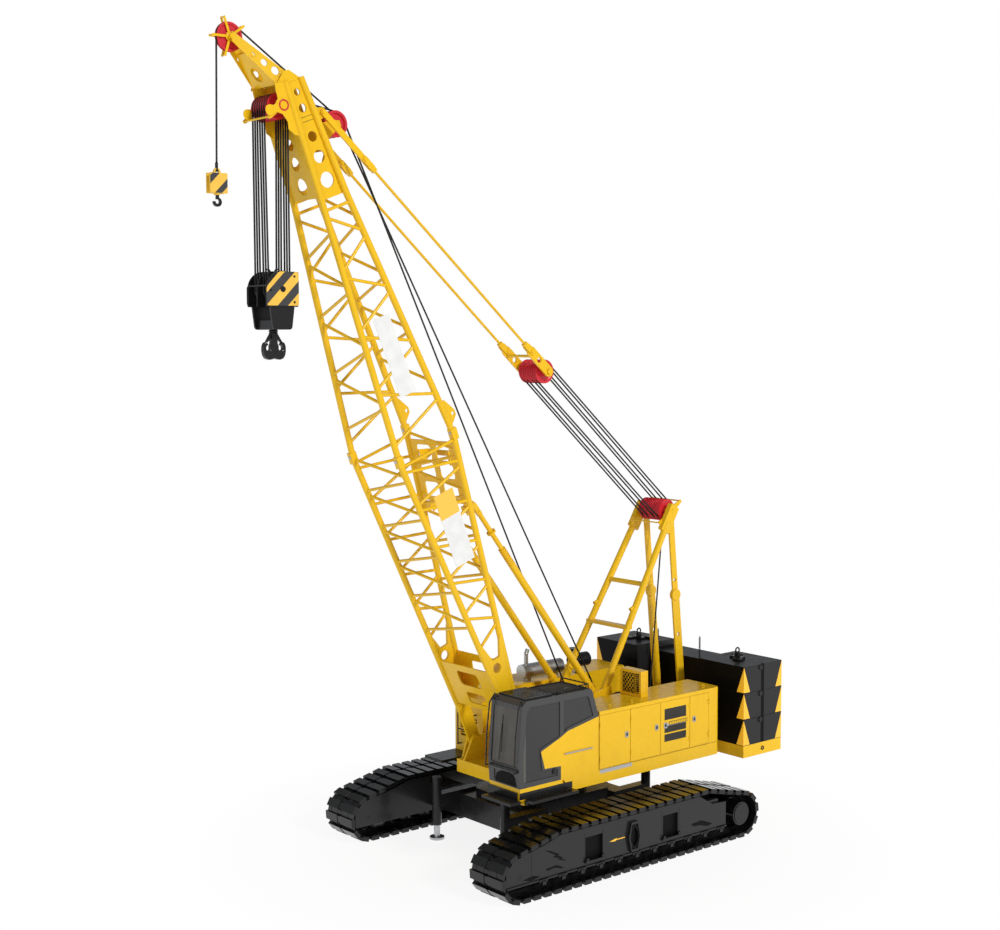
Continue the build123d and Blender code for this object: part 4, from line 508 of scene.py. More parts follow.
# the main hoist: twelve falls between seven head sheaves and six block sheaves
falls = []
for i, low_y in enumerate(block_rows):
    for way, high_y in ((1, top_rows[i]), (-1, top_rows[i + 1])):
        high = main_axle + X * (way * head_run) + Y * high_y
        low = block_axle + X * (way * block_run) + Y * low_y
        falls.append(run(high, low, 4))
o = add("hoist_falls", tubes(falls, ROPE), rope)
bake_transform(o)
wraps = [ring(main_axle + Y * y, head_run, X, Z, 20, 0, pi) for y in top_rows]
add("hoist_wraps_top", tubes(wraps, ROPE), rope, "main_sheaves")
wraps = [ring(block_axle + Y * y, block_run, X, -Z, 20, 0, pi) for y in block_rows]
add("hoist_wraps_block", tubes(wraps, ROPE), rope, "main_hook")

# the tip hoist: one line
line_x = tip_axle + X * tip_run
hook_x = tip_axle.x + 0.271
block_eye = Vector((hook_x, 0, 12.80))
o = add("tip_line", tubes([run(line_x, block_eye + Z * 0.05, 4)], ROPE), rope)
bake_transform(o)
add("tip_wrap", tubes([ring(tip_axle, tip_run, X, Z, 30, 0, radians(215))], ROPE), rope, "tip_sheave")
socket = run(block_eye + Z * 0.02, block_eye + Z * 0.17, 3)
add("tip_socket", tubes([socket], 0.026), M["dark_paint"], "tip_hook")


def tangent(a, radius_a, b, radius_b, side):
    """Where a straight rope leaves drum a and meets drum b, in the XZ plane."""
    way = Vector((b.x - a.x, 0, b.z - a.z))
    lean = (radius_a - radius_b) / way.length
    way.normalize()
    normal = Vector((way.z, 0, -way.x))
    off = normal * (side * (1 - lean * lean) ** 0.5) + way * lean
    return a + off * radius_a, b + off * radius_b


# both hoist ropes run over the guide sheaves behind the boom and down to their drums; the lower
# lengths span boom and upper works and have points at their ends only, to stay straight in any pose
start, end = tangent(guide_axle, guide_run, tip_axle, tip_run, -1)
add("tip_rope_upper", tubes([run(start + Y * -0.07, end, 6)], ROPE), rope, "boom")
start, end = tangent(guide_axle, guide_run, main_axle, head_run, -1)
add("hoist_rope_upper", tubes([run(start + Y * 0.07, end + Y * top_rows[-1], 6)], ROPE), rope, "boom")
wraps = [ring(guide_axle + Y * y, guide_run, ALONG, -FRONT, 24, 0, pi) for y in (-0.075, 0.075)]
add("guide_wraps", tubes(wraps, ROPE), rope, "boom")
drums = [Vector((x, 0, 2.08)) for x in (-0.65, -1.65, -2.65)]
for name, drum, y_high, y_low in (
    ("hoist_rope_lower", drums[0], 0.075, 0.12), ("tip_rope_lower", drums[1], -0.075, -0.15),
):
    start, end = tangent(guide_axle, guide_run, drum, drum_run, 1)
    o = add(name, tubes([run(start + Y * y_high, end + Y * y_low, 1)], ROPE), rope)
    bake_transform(o)
TURNS, STEPS, COIL_WIDTH = 24, 16, 1.0
coils = []
for drum in drums:
    path = []
    for i in range(TURNS * STEPS):
        a = 2 * pi * i / STEPS
        y = -COIL_WIDTH / 2 + COIL_WIDTH * i / (TURNS * STEPS)
        path.append(drum + Vector((cos(a) * drum_run, y, sin(a) * drum_run)))
    coils.append(path)
add("drum_coils", tubes(coils, ROPE, 6), rope, "upper")

# the luffing gear: eight falls between the gantry head and the bail
gantry_axle = Vector((-3.245, 0, 6.400))
lug = on_boom(12.67, -0.300)
bail_axle = lug + (gantry_axle - lug).normalized() * 6.9
lines = []
for y_gantry, y_bail in ((-0.217, -0.182), (-0.093, -0.078), (0.093, 0.078), (0.217, 0.182)):
    for side in (-1, 1):
        start, end = tangent(gantry_axle, gantry_run, bail_axle, bail_run, side)
        lines.append(run(start + Y * y_gantry, end + Y * y_bail, 1))
o = add("luffing_ropes", tubes(lines, ROPE), rope)
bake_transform(o)
start, end = tangent(gantry_axle, gantry_run, drums[2], drum_run, 1)
add("luffing_rope_lower", tubes([run(start, end + Y * 0.1, 6)], ROPE), rope, "upper")


# -------------------------------------------------- striped signs and boards
def striped(name, direction, start, period, dark_width, light, dark):
    """Two paints in slanting bands along a direction in the object's coordinates."""
    m, tree, bsdf = new_material(name)
    coords = tree.nodes.new("ShaderNodeTexCoord")
    dot = tree.nodes.new("ShaderNodeVectorMath")
    dot.operation = "DOT_PRODUCT"
    dot.inputs[1].default_value = direction
    tree.links.new(coords.outputs["Object"], dot.inputs[0])
    values = []
    for operation, number in (("SUBTRACT", start), ("FLOORED_MODULO", period), ("LESS_THAN", dark_width)):
        n = tree.nodes.new("ShaderNodeMath")
        n.operation = operation
        n.inputs[1].default_value = number
        tree.links.new(values[-1] if values else dot.outputs["Value"], n.inputs[0])
        values.append(n.outputs[0])
    worn = mixed(tree, ramp(tree, noise(tree, 5), 0.35, 0.7), tuple(c * 0.9 for c in light), light)
    base = mixed(tree, values[-1], worn, dark)
    tree.links.new(base, bsdf.inputs["Base Color"])
    tree.links.new(ramp(tree, noise(tree, 9), 0.3, 0.7, 0.3, 0.45), bsdf.inputs["Roughness"])
    bumps(tree, bsdf, [(noise(tree, 120, 2), 0.0004, 0.25)])
    return m


bright_yellow = (0.90, 0.52, 0.06)
soot = (0.035, 0.035, 0.037)
hazard = striped("hazard_main", (1, 0, 1), 16.688, 0.43, 0.205, bright_yellow, soot)
hazard_small = striped("hazard_tip", (1, 0, 1), 19.65, 0.366, 0.137, bright_yellow, soot)
board_face = striped(
    "board_face", tuple(ALONG), FOOT.dot(ALONG) + 5.12, 100.0, 0.55, (0.80, 0.80, 0.79), bright_yellow,
)
sign_tone = (0.88, 0.46, 0.02)
sign_yellow = painted("sign_yellow", sign_tone, 0.92, (0.4, 0.5), top_dust_and_shade_amount=0.0, chips=0.0, coat=0.1)
# the signs are reflecting foil; their glow is painted light that makes a sign folded round a corner as bright
# on both faces
sign_glow_bsdf = next(n for n in sign_yellow.node_tree.nodes if n.type == "BSDF_PRINCIPLED")
sign_glow_bsdf.inputs["Emission Color"].default_value = (*sign_tone, 1)
sign_glow_bsdf.inputs["Emission Strength"].default_value = 0.22
seam = painted("seam_black", (0.02, 0.018, 0.012), 0.7, (0.6, 0.8), top_dust_and_shade_amount=0.0, chips=0.0, coat=0.0)
silver = steel("latch_steel", (0.50, 0.51, 0.53), (0.25, 0.4), 0.9, tone=0.85)
stripe_grey = painted("stripe_grey", (0.42, 0.42, 0.42), 0.92, (0.3, 0.4), top_dust_and_shade_amount=0.05, chips=0.0)
black = M["dark_paint"]
# painted shade: the counterweight's tops and ends are darkened; only its flanks keep their tone
shade_tops_and_ends(M["weight_paint"])
vent_mesh = painted(
    "vent_mesh", (0.045, 0.042, 0.035), 0.6, (0.5, 0.7), top_dust_and_shade_amount=0.0, chips=0.0, coat=0.0, shine=0.2,
)
yellow_paint = M["paint"]
for s in nodes["boom_boards"].material_slots:
    s.material = board_face


def xz(y, way=1):
    """Places an (x, z) outline at a Y, with its thickness going along way."""
    return lambda u, v, w: (u, y + way * w, v)


def yz(x, way=1):
    """Places a (y, z) outline at an X, with its thickness going along way."""
    return lambda u, v, w: (x + way * w, u, v)


SIGN = 0.0015                       # thickness of a painted sign
CHEEK_HALF, CHEEK_LOW, CHEEK_HIGH = 0.32, 10.60, 11.18
cheek = [
    (-CHEEK_HALF + 0.02, CHEEK_LOW), (CHEEK_HALF - 0.02, CHEEK_LOW), (CHEEK_HALF, 10.64), (CHEEK_HALF, 10.90),
    (CHEEK_HALF - 0.03, 10.95), (CHEEK_HALF - 0.23, 11.16), (CHEEK_HALF - 0.27, CHEEK_HIGH),
    (-CHEEK_HALF + 0.04, CHEEK_HIGH), (-CHEEK_HALF, 11.14), (-CHEEK_HALF, 10.63),
]
CHEEK_FACE, TIP_FACE, TIP_HALF = 0.3301, 0.0701, 0.163
tip_plate = [(hook_x + u * TIP_HALF, v) for u, v in ((-1, 12.465), (1, 12.465), (1, 12.795), (-1, 12.795))]
for side in (-1, 1):
    outline = [(main_axle.x + u, v) for u, v in cheek]
    add(f"hazard_plate_{hand(side)}", prism(outline, SIGN, xz(side * CHEEK_FACE, side)), hazard, "main_hook")
    plate = prism(tip_plate, SIGN, xz(side * TIP_FACE, side))
    add(f"hazard_tip_{hand(side)}", plate, hazard_small, "tip_hook")
spots = ((-0.23, 11.1), (-0.23, 10.66), (0.24, 10.86), (0.0, 10.88))
heads = [(main_axle.x + u, side * (CHEEK_FACE + SIGN), v) for side in (-1, 1) for u, v in spots]
add("hook_block_bolts", bolts(heads, Y, 0.022, 0.012), black, "main_hook")

# ------------------------------------------------------------ counterweight
WEIGHT_LOW, WEIGHT_HIGH, SLABS = 1.626, 3.280, 3
WEIGHT_FRONT, WEIGHT_REAR, WEIGHT_SIDE = -3.590, -4.770, 2.193
SLAB = (WEIGHT_HIGH - WEIGHT_LOW) / SLABS


def warning_triangles():
    """Signs folded round the upright corners: half on each face, apex up."""
    bm = bmesh.new()
    half, thick, margin = 0.19, 0.0016, 0.012
    for side in (-1, 1):
        for x, way in ((WEIGHT_FRONT, -1), (WEIGHT_REAR, 1)):
            for index in range(SLABS):
                low, high = WEIGHT_LOW + index * SLAB + margin, WEIGHT_LOW + (index + 1) * SLAB - margin
                corner = Vector((x, side * WEIGHT_SIDE, 0))
                out = Vector((-way, side, 0))
                ends = [corner + Vector((way * half, 0, 0)), corner + Vector((0, -side * half, 0))]
                lifts = [Vector((0, side, 0)), Vector((-way, 0, 0))]
                for end, lift in zip(ends, lifts):
                    # the two points on the corner move out along both faces, so the halves meet
                    tri = [(corner + Z * high, out), (end + Z * low, lift), (corner + Z * low, out)]
                    inner = [bm.verts.new(p + lift * HAIR) for p, _ in tri]
                    outer = [bm.verts.new(p + outward * (HAIR + thick)) for p, outward in tri]
                    bm.faces.new(outer)
                    bm.faces.new(list(reversed(inner)))
                    for k in range(3):
                        bm.faces.new((inner[k], inner[(k + 1) % 3], outer[(k + 1) % 3], outer[k]))
    return from_bmesh(bm)


def pad(side, y, half, x, z):
    """A box over spans of x and z, centred at a distance y on one side."""
    return (x, (side * y - half, side * y + half), z)


add("warning_triangles", warning_triangles(), sign_yellow, "upper")
EYE_X, EYE_Y, WEIGHT_TOP = -4.2, 1.47, WEIGHT_HIGH + 0.0003
eyes = [ring((EYE_X, side * EYE_Y, 3.45), 0.055, X, Z, 20) for side in (-1, 1)]
add("lifting_eyes", tubes(eyes, 0.016, 8, closed=True), black, "upper")
stands = [pad(side, EYE_Y, 0.16, (-4.27, -4.13), (WEIGHT_TOP, 3.325)) for side in (-1, 1)]
stands += [pad(side, EYE_Y, 0.05, (-4.24, -4.16), (3.325, 3.40)) for side in (-1, 1)]
add("lifting_bases", blocks(stands), black, "upper", bevel=0.008)


def chain(start, links, wire):
    """An upright chain of links, each turned a quarter from the last."""
    paths = []
    start = Vector(start)
    angles = [2 * pi * k / 14 for k in range(14)]
    for index in range(links):
        centre = start + Z * (index * wire * 4.2)
        u = X if index % 2 else Y
        paths.append([centre + u * (cos(a) * wire * 1.6) + Z * (sin(a) * wire * 2.9) for a in angles])
    return paths


posts = chain((-3.95, 0.62, 3.20), 10, 0.011) + chain((-3.95, -0.62, 3.20), 10, 0.011)
add("chain_posts", tubes(posts, 0.008, 6, closed=True), black, "upper")
lugs = [ring((-4.18, side * 2.20, 1.50), 0.035, X, Z, 16) for side in (-1, 1)]
add("tray_lugs", tubes(lugs, 0.011, 8, closed=True), black, "upper")

# ------------------------------------------------------------------- houses
HOUSE = 1.8503                      # a hair outside the house's face
SKIN = (1.8502, 1.8522)             # a 2 mm patch on its left face


def latch(name, x, side, body):
    """A steel cup in a door's face with a dark pull in it."""
    frame = blocks([((x - 0.045, x + 0.045), y_span(side, HOUSE, HOUSE + 0.012), (2.262, 2.378))])
    add(f"latch_{name}", frame, silver, body, bevel=0.004)
    pull = blocks([((x - 0.022, x + 0.022), y_span(side, HOUSE + 0.0122, HOUSE + 0.017), (2.29, 2.35))])
    add(f"latch_pull_{name}", pull, black, body, bevel=0.002)


for side, name in ((1, "left"), (-1, "right")):
    for letter, x in (("a", -0.56), ("b", -1.39), ("c", -1.64), ("d", -2.47)):
        latch(f"{name}_{letter}", x, side, f"door_{name}_{letter}")
stripe = [(0.155, 1.665), (0.155, 1.735), (-0.71, 1.735), (-0.71, 1.665)]
add("skirt_stripe", prism(stripe, SIGN, xz(HOUSE)), stripe_grey, "upper")
add("vent_trim", blocks([((-2.21, -1.64), (1.8403, 1.8498), (2.2915, 2.3435))]), stripe_grey, "door_left_c")

# --------------------------------------------- cab: handrails, lamps, wiper
rail_bar = blocks([((0.367, 1.09), (1.868, 1.880), (2.205, 2.232))])
add("cab_rail_bar", rail_bar, silver, "upper", bevel=0.004)
rail_feet = [((x - 0.02, x + 0.02), (HOUSE, 1.868), (2.209, 2.228)) for x in (0.40, 1.05)]
add("cab_rail_feet", blocks(rail_feet), silver, "upper")
add("cab_handle", blocks([((1.31, 1.37), (HOUSE, 1.862), (1.88, 1.99))]), black, "upper", bevel=0.004)
ROOF = 3.3603                       # a hair above the cab's roof
RAIL = ROOF + 0.09
rails = [
    [(0.42, 1.80, ROOF), (0.42, 1.80, RAIL), (1.22, 1.80, RAIL), (1.22, 1.80, ROOF)],
    [(0.42, 1.80, RAIL), (0.42, 1.02, RAIL), (0.42, 1.02, ROOF)],
]
add("roof_rail", tubes(rails, 0.013), black, "upper")
lamps = [run((2.04, y, 3.30), (2.11, y, 3.30)) for y in (1.06, 1.75)]
add("work_lamps", tubes(lamps, 0.045, 18), black, "upper")
wiper = [
    [(2.235, 1.30, 2.20), (2.218, 1.33, 2.55), (2.19, 1.36, 2.90)],
    [(2.215, 1.345, 2.35), (2.17, 1.36, 3.05)],
]
add("wiper", tubes(wiper, 0.008, 8), black, "upper")


# -------------------------------------------------------------- track frames
TRACK = 2.70                        # the track frame's outer face
TRACK_OUT = TRACK + 0.0005          # a hair outside it
STEP_X, STEP_Z = 0.095, 0.632       # middle of the step bracket


def hexagon(width, height):
    """An upright hexagon with a point at the top and at the bottom."""
    half = [(0, height), (width, height * 0.45), (width, -height * 0.45)]
    return half + [(-u, -v) for u, v in half]


def flat(bm, outline, place):
    """A patch of any outline, 2 mm thick."""
    low = [bm.verts.new(place(u, v, HAIR)) for u, v in outline]
    high = [bm.verts.new(place(u, v, HAIR + 0.002)) for u, v in outline]
    bm.faces.new(low)
    bm.faces.new(high)
    for k in range(len(outline)):
        n = (k + 1) % len(outline)
        bm.faces.new((low[k], low[n], high[n], high[k]))


# painted shadows: outlines of dark patches cast on the track frame's face
shadow_outlines = (
    [(2.33, 0.835), (2.06, 0.690), (2.14, 0.675), (1.96, 0.610), (2.02, 0.600), (1.80, 0.530), (1.83, 0.555),
     (1.93, 0.600), (1.88, 0.610), (2.02, 0.685), (1.97, 0.695), (2.20, 0.800)],
    [(2.30, 0.485), (2.05, 0.505), (1.86, 0.425), (1.93, 0.415), (2.08, 0.465), (2.27, 0.445)],
    [(2.85, 0.395), (2.62, 0.435), (2.44, 0.385), (2.66, 0.345)],
    [(-1.50, 0.535), (-1.78, 0.560), (-2.112, 0.435), (-1.98, 0.405), (-1.72, 0.470), (-1.56, 0.480)],
)
arrow = [
    (0.315, 0.652), (0.315, 0.668), (0.53, 0.668), (0.53, 0.688), (0.72, 0.652), (0.56, 0.632), (0.56, 0.650),
]
seams = (
    (2.64, 0.34, 0.84), (1.335, 0.40, 0.95), (0.886, 0.40, 0.95), (-0.686, 0.40, 0.95), (-1.156, 0.40, 0.95),
)
for side, name in ((1, "left"), (-1, "right")):
    outer, inner = hexagon(0.135, 0.290), hexagon(0.075, 0.185)
    near, far = side * TRACK_OUT, side * 2.750
    sections = ((outer, near), (outer, far), (inner, far), (inner, near))
    bm = bmesh.new()
    rings = [[bm.verts.new((STEP_X + u, y, STEP_Z + v)) for u, v in shape] for shape, y in sections]
    for a, b in zip(rings, rings[1:] + rings[:1]):
        for k in range(6):
            bm.faces.new((a[k], a[(k + 1) % 6], b[(k + 1) % 6], b[k]))
    add(f"step_bracket_{name}", from_bmesh(bm), M["pit_black"], "undercarriage", bevel=0.006)
    on_face, in_recess = xz(side * TRACK, side), xz(side * (TRACK - 0.059), side)
    # painted shade: near-black patches in the step opening and on the recess floors, and the painted shadows
    # on the face
    bm = bmesh.new()
    flat(bm, [(STEP_X + u, STEP_Z + v) for u, v in hexagon(0.09, 0.21)], on_face)
    for low, high in ((0.884, 1.336), (-1.116, -0.714)):
        flat(bm, [(low, 0.400), (high, 0.400), (high, 0.950), (low, 0.950)], in_recess)
    for outline in shadow_outlines:
        flat(bm, outline, on_face)
    add(f"frame_painted_shade_{name}", from_bmesh(bm), M["pit_black"], "undercarriage")
    add(f"travel_arrow_{name}", prism(arrow, SIGN, xz(side * TRACK_OUT, side)), sign_yellow, "undercarriage")
    y = side * (TRACK + 0.001)
    lines = [run((x, y, low), (x, y, high), 3) for x, low, high in seams]
    add(f"frame_seams_{name}", tubes(lines, 0.005, 6), seam, "undercarriage")
    # x span, reach outwards and z span of the ledges under the recesses and of the roller brackets
    feet = []
    for low, high in ((0.885, 1.335), (-1.155, -0.685)):
        feet.append(((low - 0.02, high + 0.02), 0.045, (0.385, 0.425)))
        feet += [((x - 0.03, x + 0.03), 0.050, (0.425, 0.475)) for x in (low + 0.03, high - 0.03)]
    for k in range(11):
        x = -2.32 + 0.47 * k
        feet.append(((x - 0.105, x + 0.105), 0.038, (0.275, 0.330)))
        feet.append(((x - 0.045, x + 0.045), 0.055, (0.225, 0.300)))
    feet = [(xs, y_span(side, TRACK, TRACK + reach), zs) for xs, reach, zs in feet]
    add(f"roller_brackets_{name}", blocks(feet), M["track_steel"], "undercarriage", bevel=0.006)

# -------------------------------------------------------------- shoe fingers
WHEELBASE, BEND_GAP, END_R, BEND_R, TOP = 5.86, 3.9, 0.47, 0.35, 1.17
SHOES, HALF_GAUGE, CLEAT = 58, 2.325, 0.055
SUNK = 0.028                        # how deep a finger starts in its shoe


def arc(x, z, r, start):
    """Maps a distance along an arc to a place and an outward angle."""
    return lambda s: (x + r * cos(start + s / r), z + r * sin(start + s / r), start + s / r)


def straight(low, high, reach, turn):
    """Maps a distance along a straight run to a place and an outward angle."""
    return lambda s: (low[0] + (high[0] - low[0]) * s / reach, low[1] + (high[1] - low[1]) * s / reach, turn)


def loop_stations():
    """Index, place and outward angle of every shoe and joint, along the root of the cleats."""
    circles = (
        (WHEELBASE / 2, END_R, END_R), (BEND_GAP / 2, TOP - BEND_R, BEND_R),
        (-BEND_GAP / 2, TOP - BEND_R, BEND_R), (-WHEELBASE / 2, END_R, END_R),
    )
    normals = []
    for k, (x, z, r) in enumerate(circles):
        nx, nz, nr = circles[(k + 1) % 4]
        normals.append(atan2(nz - z, nx - x) - acos((r - nr) / hypot(nx - x, nz - z)))
    parts = []
    for k, (x, z, r) in enumerate(circles):
        start, r = normals[k - 1], r - CLEAT
        sweep = (normals[k] - start) % (2 * pi)
        nx, nz, nr = circles[(k + 1) % 4]
        out = (cos(normals[k]), sin(normals[k]))
        low = (x + r * out[0], z + r * out[1])
        high = (nx + (nr - CLEAT) * out[0], nz + (nr - CLEAT) * out[1])
        parts.append((r * sweep, arc(x, z, r, start)))
        reach = hypot(high[0] - low[0], high[1] - low[1])
        parts.append((reach, straight(low, high, reach, normals[k])))
    lap = sum(length for length, _ in parts)
    for index in range(SHOES * 2):
        s = (index + 1) * lap / SHOES / 2
        for length, where in parts:
            if s <= length:
                yield index, where(s)
                break
            s -= length


for side, name in ((1, "left"), (-1, "right")):
    fingers = bmesh.new()
    for index, (x, z, turn) in loop_stations():
        out, along = Vector((cos(turn), 0, sin(turn))), Vector((-sin(turn), 0, cos(turn)))
        if index % 2:
            # between two shoes: four fingers
            spans = ((-0.455, -0.345), (-0.230, -0.120), (0.120, 0.230), (0.345, 0.455))
            half, top = 0.042, 0.004
        else:
            # at the middle of a shoe: the cleat carries on across the centre
            spans, half, top = ((-0.056, 0.056),), 0.066, 0.046
        for low, high in spans:
            corners = []
            for y in (low, high):
                root = Vector((x, side * HALF_GAUGE + y, z))
                for a, b in ((-half, -SUNK), (half, -SUNK), (half, top), (-half, top)):
                    corners.append(fingers.verts.new(root + along * a + out * b))
            for face in ((0, 1, 2, 3), (7, 6, 5, 4), (0, 4, 5, 1), (1, 5, 6, 2), (2, 6, 7, 3), (3, 7, 4, 0)):
                fingers.faces.new([corners[i] for i in face])
    add(f"shoe_fingers_{name}", from_bmesh(fingers), M["track_steel"], "undercarriage")

# --------------------------------------------------------------- boom trim
for side in (-1, 1):
    y = side * 0.416
    lines = [run(on_boom(along, -0.05, y), on_boom(along, 0.20, y)) for along in (12.62, 12.70)]
    add(f"head_seams_{hand(side)}", tubes(lines, 0.004, 6), seam, "boom")
    disc = ring(main_axle + Y * (side * 0.446), 0.085, X, Z)
    add(f"axle_ring_{hand(side)}", tubes([disc], 0.014, 8, closed=True), M["sheave_red"], "boom")
pins = []
for front in (-0.659, 0.659):
    for side in (-1, 1):
        p = on_boom(6.53, front, side * 0.726)
        pins.append([p - FRONT * 0.085, p + FRONT * 0.085])
add("section_pins", tubes(pins, 0.026, 12), silver, "boom")


# ---------------------------------------------------------- boom head plates
def on_side(y):
    """Places an (along, depth) outline on a plane of the boom at y, thickness outwards."""
    way = 1 if y > 0 else -1
    return lambda u, v, w: on_boom(u, v, y + way * w)


cheek_plate = [
    (13.384, 0.505), (13.303, 0.530), (13.136, 0.544), (13.070, 0.610), (13.055, 0.664), (13.090, 0.740),
    (13.082, 0.811), (13.020, 0.850), (12.948, 0.840), (12.905, 0.790), (12.913, 0.740), (12.929, 0.644),
    (12.865, 0.547), (12.721, 0.498), (12.600, 0.528), (12.473, 0.436), (12.414, 0.334), (12.62, 0.30),
    (13.36, 0.30),
]
knee_plate = [
    (13.33, 0.46), (13.371, 0.461), (13.529, 0.257), (13.522, 0.154), (13.353, -0.011), (13.322, 0.091),
    (13.34, 0.368),
]
head_web = [(12.74, -0.05), (13.30, -0.05), (13.30, 0.22), (12.74, 0.22)]
for side, cheek_y in ((-1, -0.275), (1, 0.4305)):
    plate = prism(cheek_plate, 0.014, on_side(cheek_y))
    add(f"cheek_plate_{hand(side)}", plate, yellow_paint, "boom", bevel=0.003)
    plate = prism(knee_plate, 0.012, on_side(side * 0.4165))
    add(f"knee_plate_{hand(side)}", plate, yellow_paint, "boom", bevel=0.003)
for side in (-1, 1):
    add(f"head_web_{hand(side)}", prism(head_web, 0.010, on_side(side * 0.16)), yellow_paint, "boom")

# ------------------------------------------------------------ the main hook
half_hook = [(0.052, 10.19), (0.058, 9.955)]
angles = [radians(150 + 300 * k / 14) for k in range(15)]
half_hook += [(0.125 + 0.050 * cos(a), 9.875 + 0.050 * sin(a)) for a in angles]
half_hook += [
    (0.160, 9.985), (0.200, 9.955), (0.219, 9.900), (0.221, 9.820), (0.205, 9.745), (0.170, 9.695),
    (0.110, 9.672), (0.050, 9.680), (0.0, 9.700),
]
horn = [(main_axle.x + u, v) for u, v in half_hook] + [
    (main_axle.x - u, v) for u, v in reversed(half_hook[:-1])
]
o = add("double_hook", prism(horn, 0.110, xz(-0.055)), black, "main_hook", bevel=0.014)
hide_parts("main_hook")
collars = [ring(Vector((main_axle.x, 0, z)), 0.060, X, Y, 24) for z in (10.165, 10.12)]
add("hook_collars", tubes(collars, 0.022, 10, closed=True), black, "main_hook")
latch_shape = [
    (0.052, 10.115), (0.082, 10.115), (0.165, 9.985), (0.145, 9.965), (0.112, 9.985), (0.056, 10.060),
]
for way, letter in ((-1, "a"), (1, "b")):
    gate = prism([(main_axle.x + way * u, v) for u, v in latch_shape], 0.040, xz(-0.020))
    add(f"hook_latch_{letter}", gate, black, "main_hook", bevel=0.003)

# ------------------------------------------------------------- house trim
skirt = run((0.16, HOUSE + HAIR, 1.738), (-3.14, HOUSE + HAIR, 1.738), 4)
add("skirt_line", tubes([skirt], 0.0035, 6), seam, "upper")
screens = [((-2.235, -1.615), (HOUSE, 1.8523), z) for z in ((2.425, 2.650), (2.165, 2.300), (1.985, 2.135))]
add("vent_screens", blocks(screens), vent_mesh, "door_left_c")
teeth = [((x, x + 0.040), (HOUSE, 1.8543), (2.318, 2.372)) for x in [-2.265 + 0.052 * k for k in range(10)]]
add("vent_bar", blocks([((-2.275, -1.745), SKIN, (2.308, 2.382))]), seam, "door_left_c")
add("vent_bar_teeth", blocks(teeth), yellow_paint, "door_left_c")
roof_eyes = [ring((x, 1.70, 2.905), 0.028, X, Z, 16) for x in (-0.25, -0.85, -2.9)]
add("roof_eyes", tubes(roof_eyes, 0.008, 8, closed=True), yellow_paint, "upper")


def cooler_mesh(x, low, high, bottom, top, step=0.085, lean=1.15):
    """The cooler's diamond mesh on a wall at x, over a near-black sheet that is painted shade in its opening.
    """
    opening = prism([(low, bottom), (high, bottom), (high, top), (low, top)], 0.003, yz(x + 0.001))
    add("cooler_dark", opening, M["pit_black"], "upper")
    paths = []
    for way in (-1, 1):
        for k in range(-14, 30):
            y0 = low + k * step
            y1 = y0 + way * (top - bottom) / lean
            ends = []
            for y in (y0, y1):
                inside = min(max(y, low), high)
                ends.append((x + 0.008, inside, bottom + (top - bottom) * (inside - y0) / (y1 - y0)))
            if abs(ends[0][1] - ends[1][1]) > 0.01:
                paths.append(ends)
    add("cooler_mesh", tubes(paths, 0.006, 5), yellow_paint, "upper")


cooler_mesh(-1.253, 1.03, 1.36, 2.95, 3.345)
# painted shade: near-black bars for the shaded insides of the cooler's slots
slot_bars = [((-1.252, -1.250), (1.415, 1.500), (z, z + 0.022)) for z in [2.99 + 0.042 * k for k in range(9)]]
add("cooler_slots", blocks(slot_bars), M["pit_black"], "upper")

# painted shade: the deck under the cab is painted black below its floor edge
band = [((0.88, 2.196), SKIN, (1.531, 1.660)), ((2.1972, 2.2000), (0.95, 1.79), (1.485, 1.660))]
add("deck_shadow", blocks(band), black, "upper")

# ------------------------------------------- slab joints, lugs and top gear
joints = []
for side in (-1, 1):
    for index in range(1, SLABS):
        z = WEIGHT_LOW + index * SLAB
        corners = ((-3.592, 0.95), (-3.5905, 2.1945), (-4.7705, 2.1945), (-4.772, 0.95))
        joints.append([(x, side * y, z) for x, y in corners])
add("slab_joints", tubes(joints, 0.0035, 6), M["pit_black"], "upper")
# painted shade: a near-black strip over the groove on each side of the counterweight
grooves = [((-4.215, -4.125), y_span(side, 2.1932, 2.1950), (1.63, 3.278)) for side in (-1, 1)]
add("slab_grooves", blocks(grooves), M["pit_black"], "upper")
heights = (2.12, 2.67, 3.215)
bosses = [run((-4.095, side * 2.150, z), (-4.095, side * 2.222, z)) for side in (-1, 1) for z in heights]
add("slab_lugs", tubes(bosses, 0.045, 20), black, "upper")
gear = [pad(side, 1.30, 0.10, (-4.45, -4.30), (WEIGHT_TOP, 3.33)) for side in (-1, 1)]
gear += [pad(side, 1.62, 0.10, (-4.12, -3.98), (WEIGHT_TOP, 3.32)) for side in (-1, 1)]
add("weight_top_gear", blocks(gear), black, "upper", bevel=0.01)


# ------------------------------------------------- cab: front and roof panel
def cab_front(z):
    """X of the cab's front face at a height."""
    return 2.184 + (z - 1.735) * 0.067 if z < 2.20 else 2.215 - (z - 2.20) * 0.089


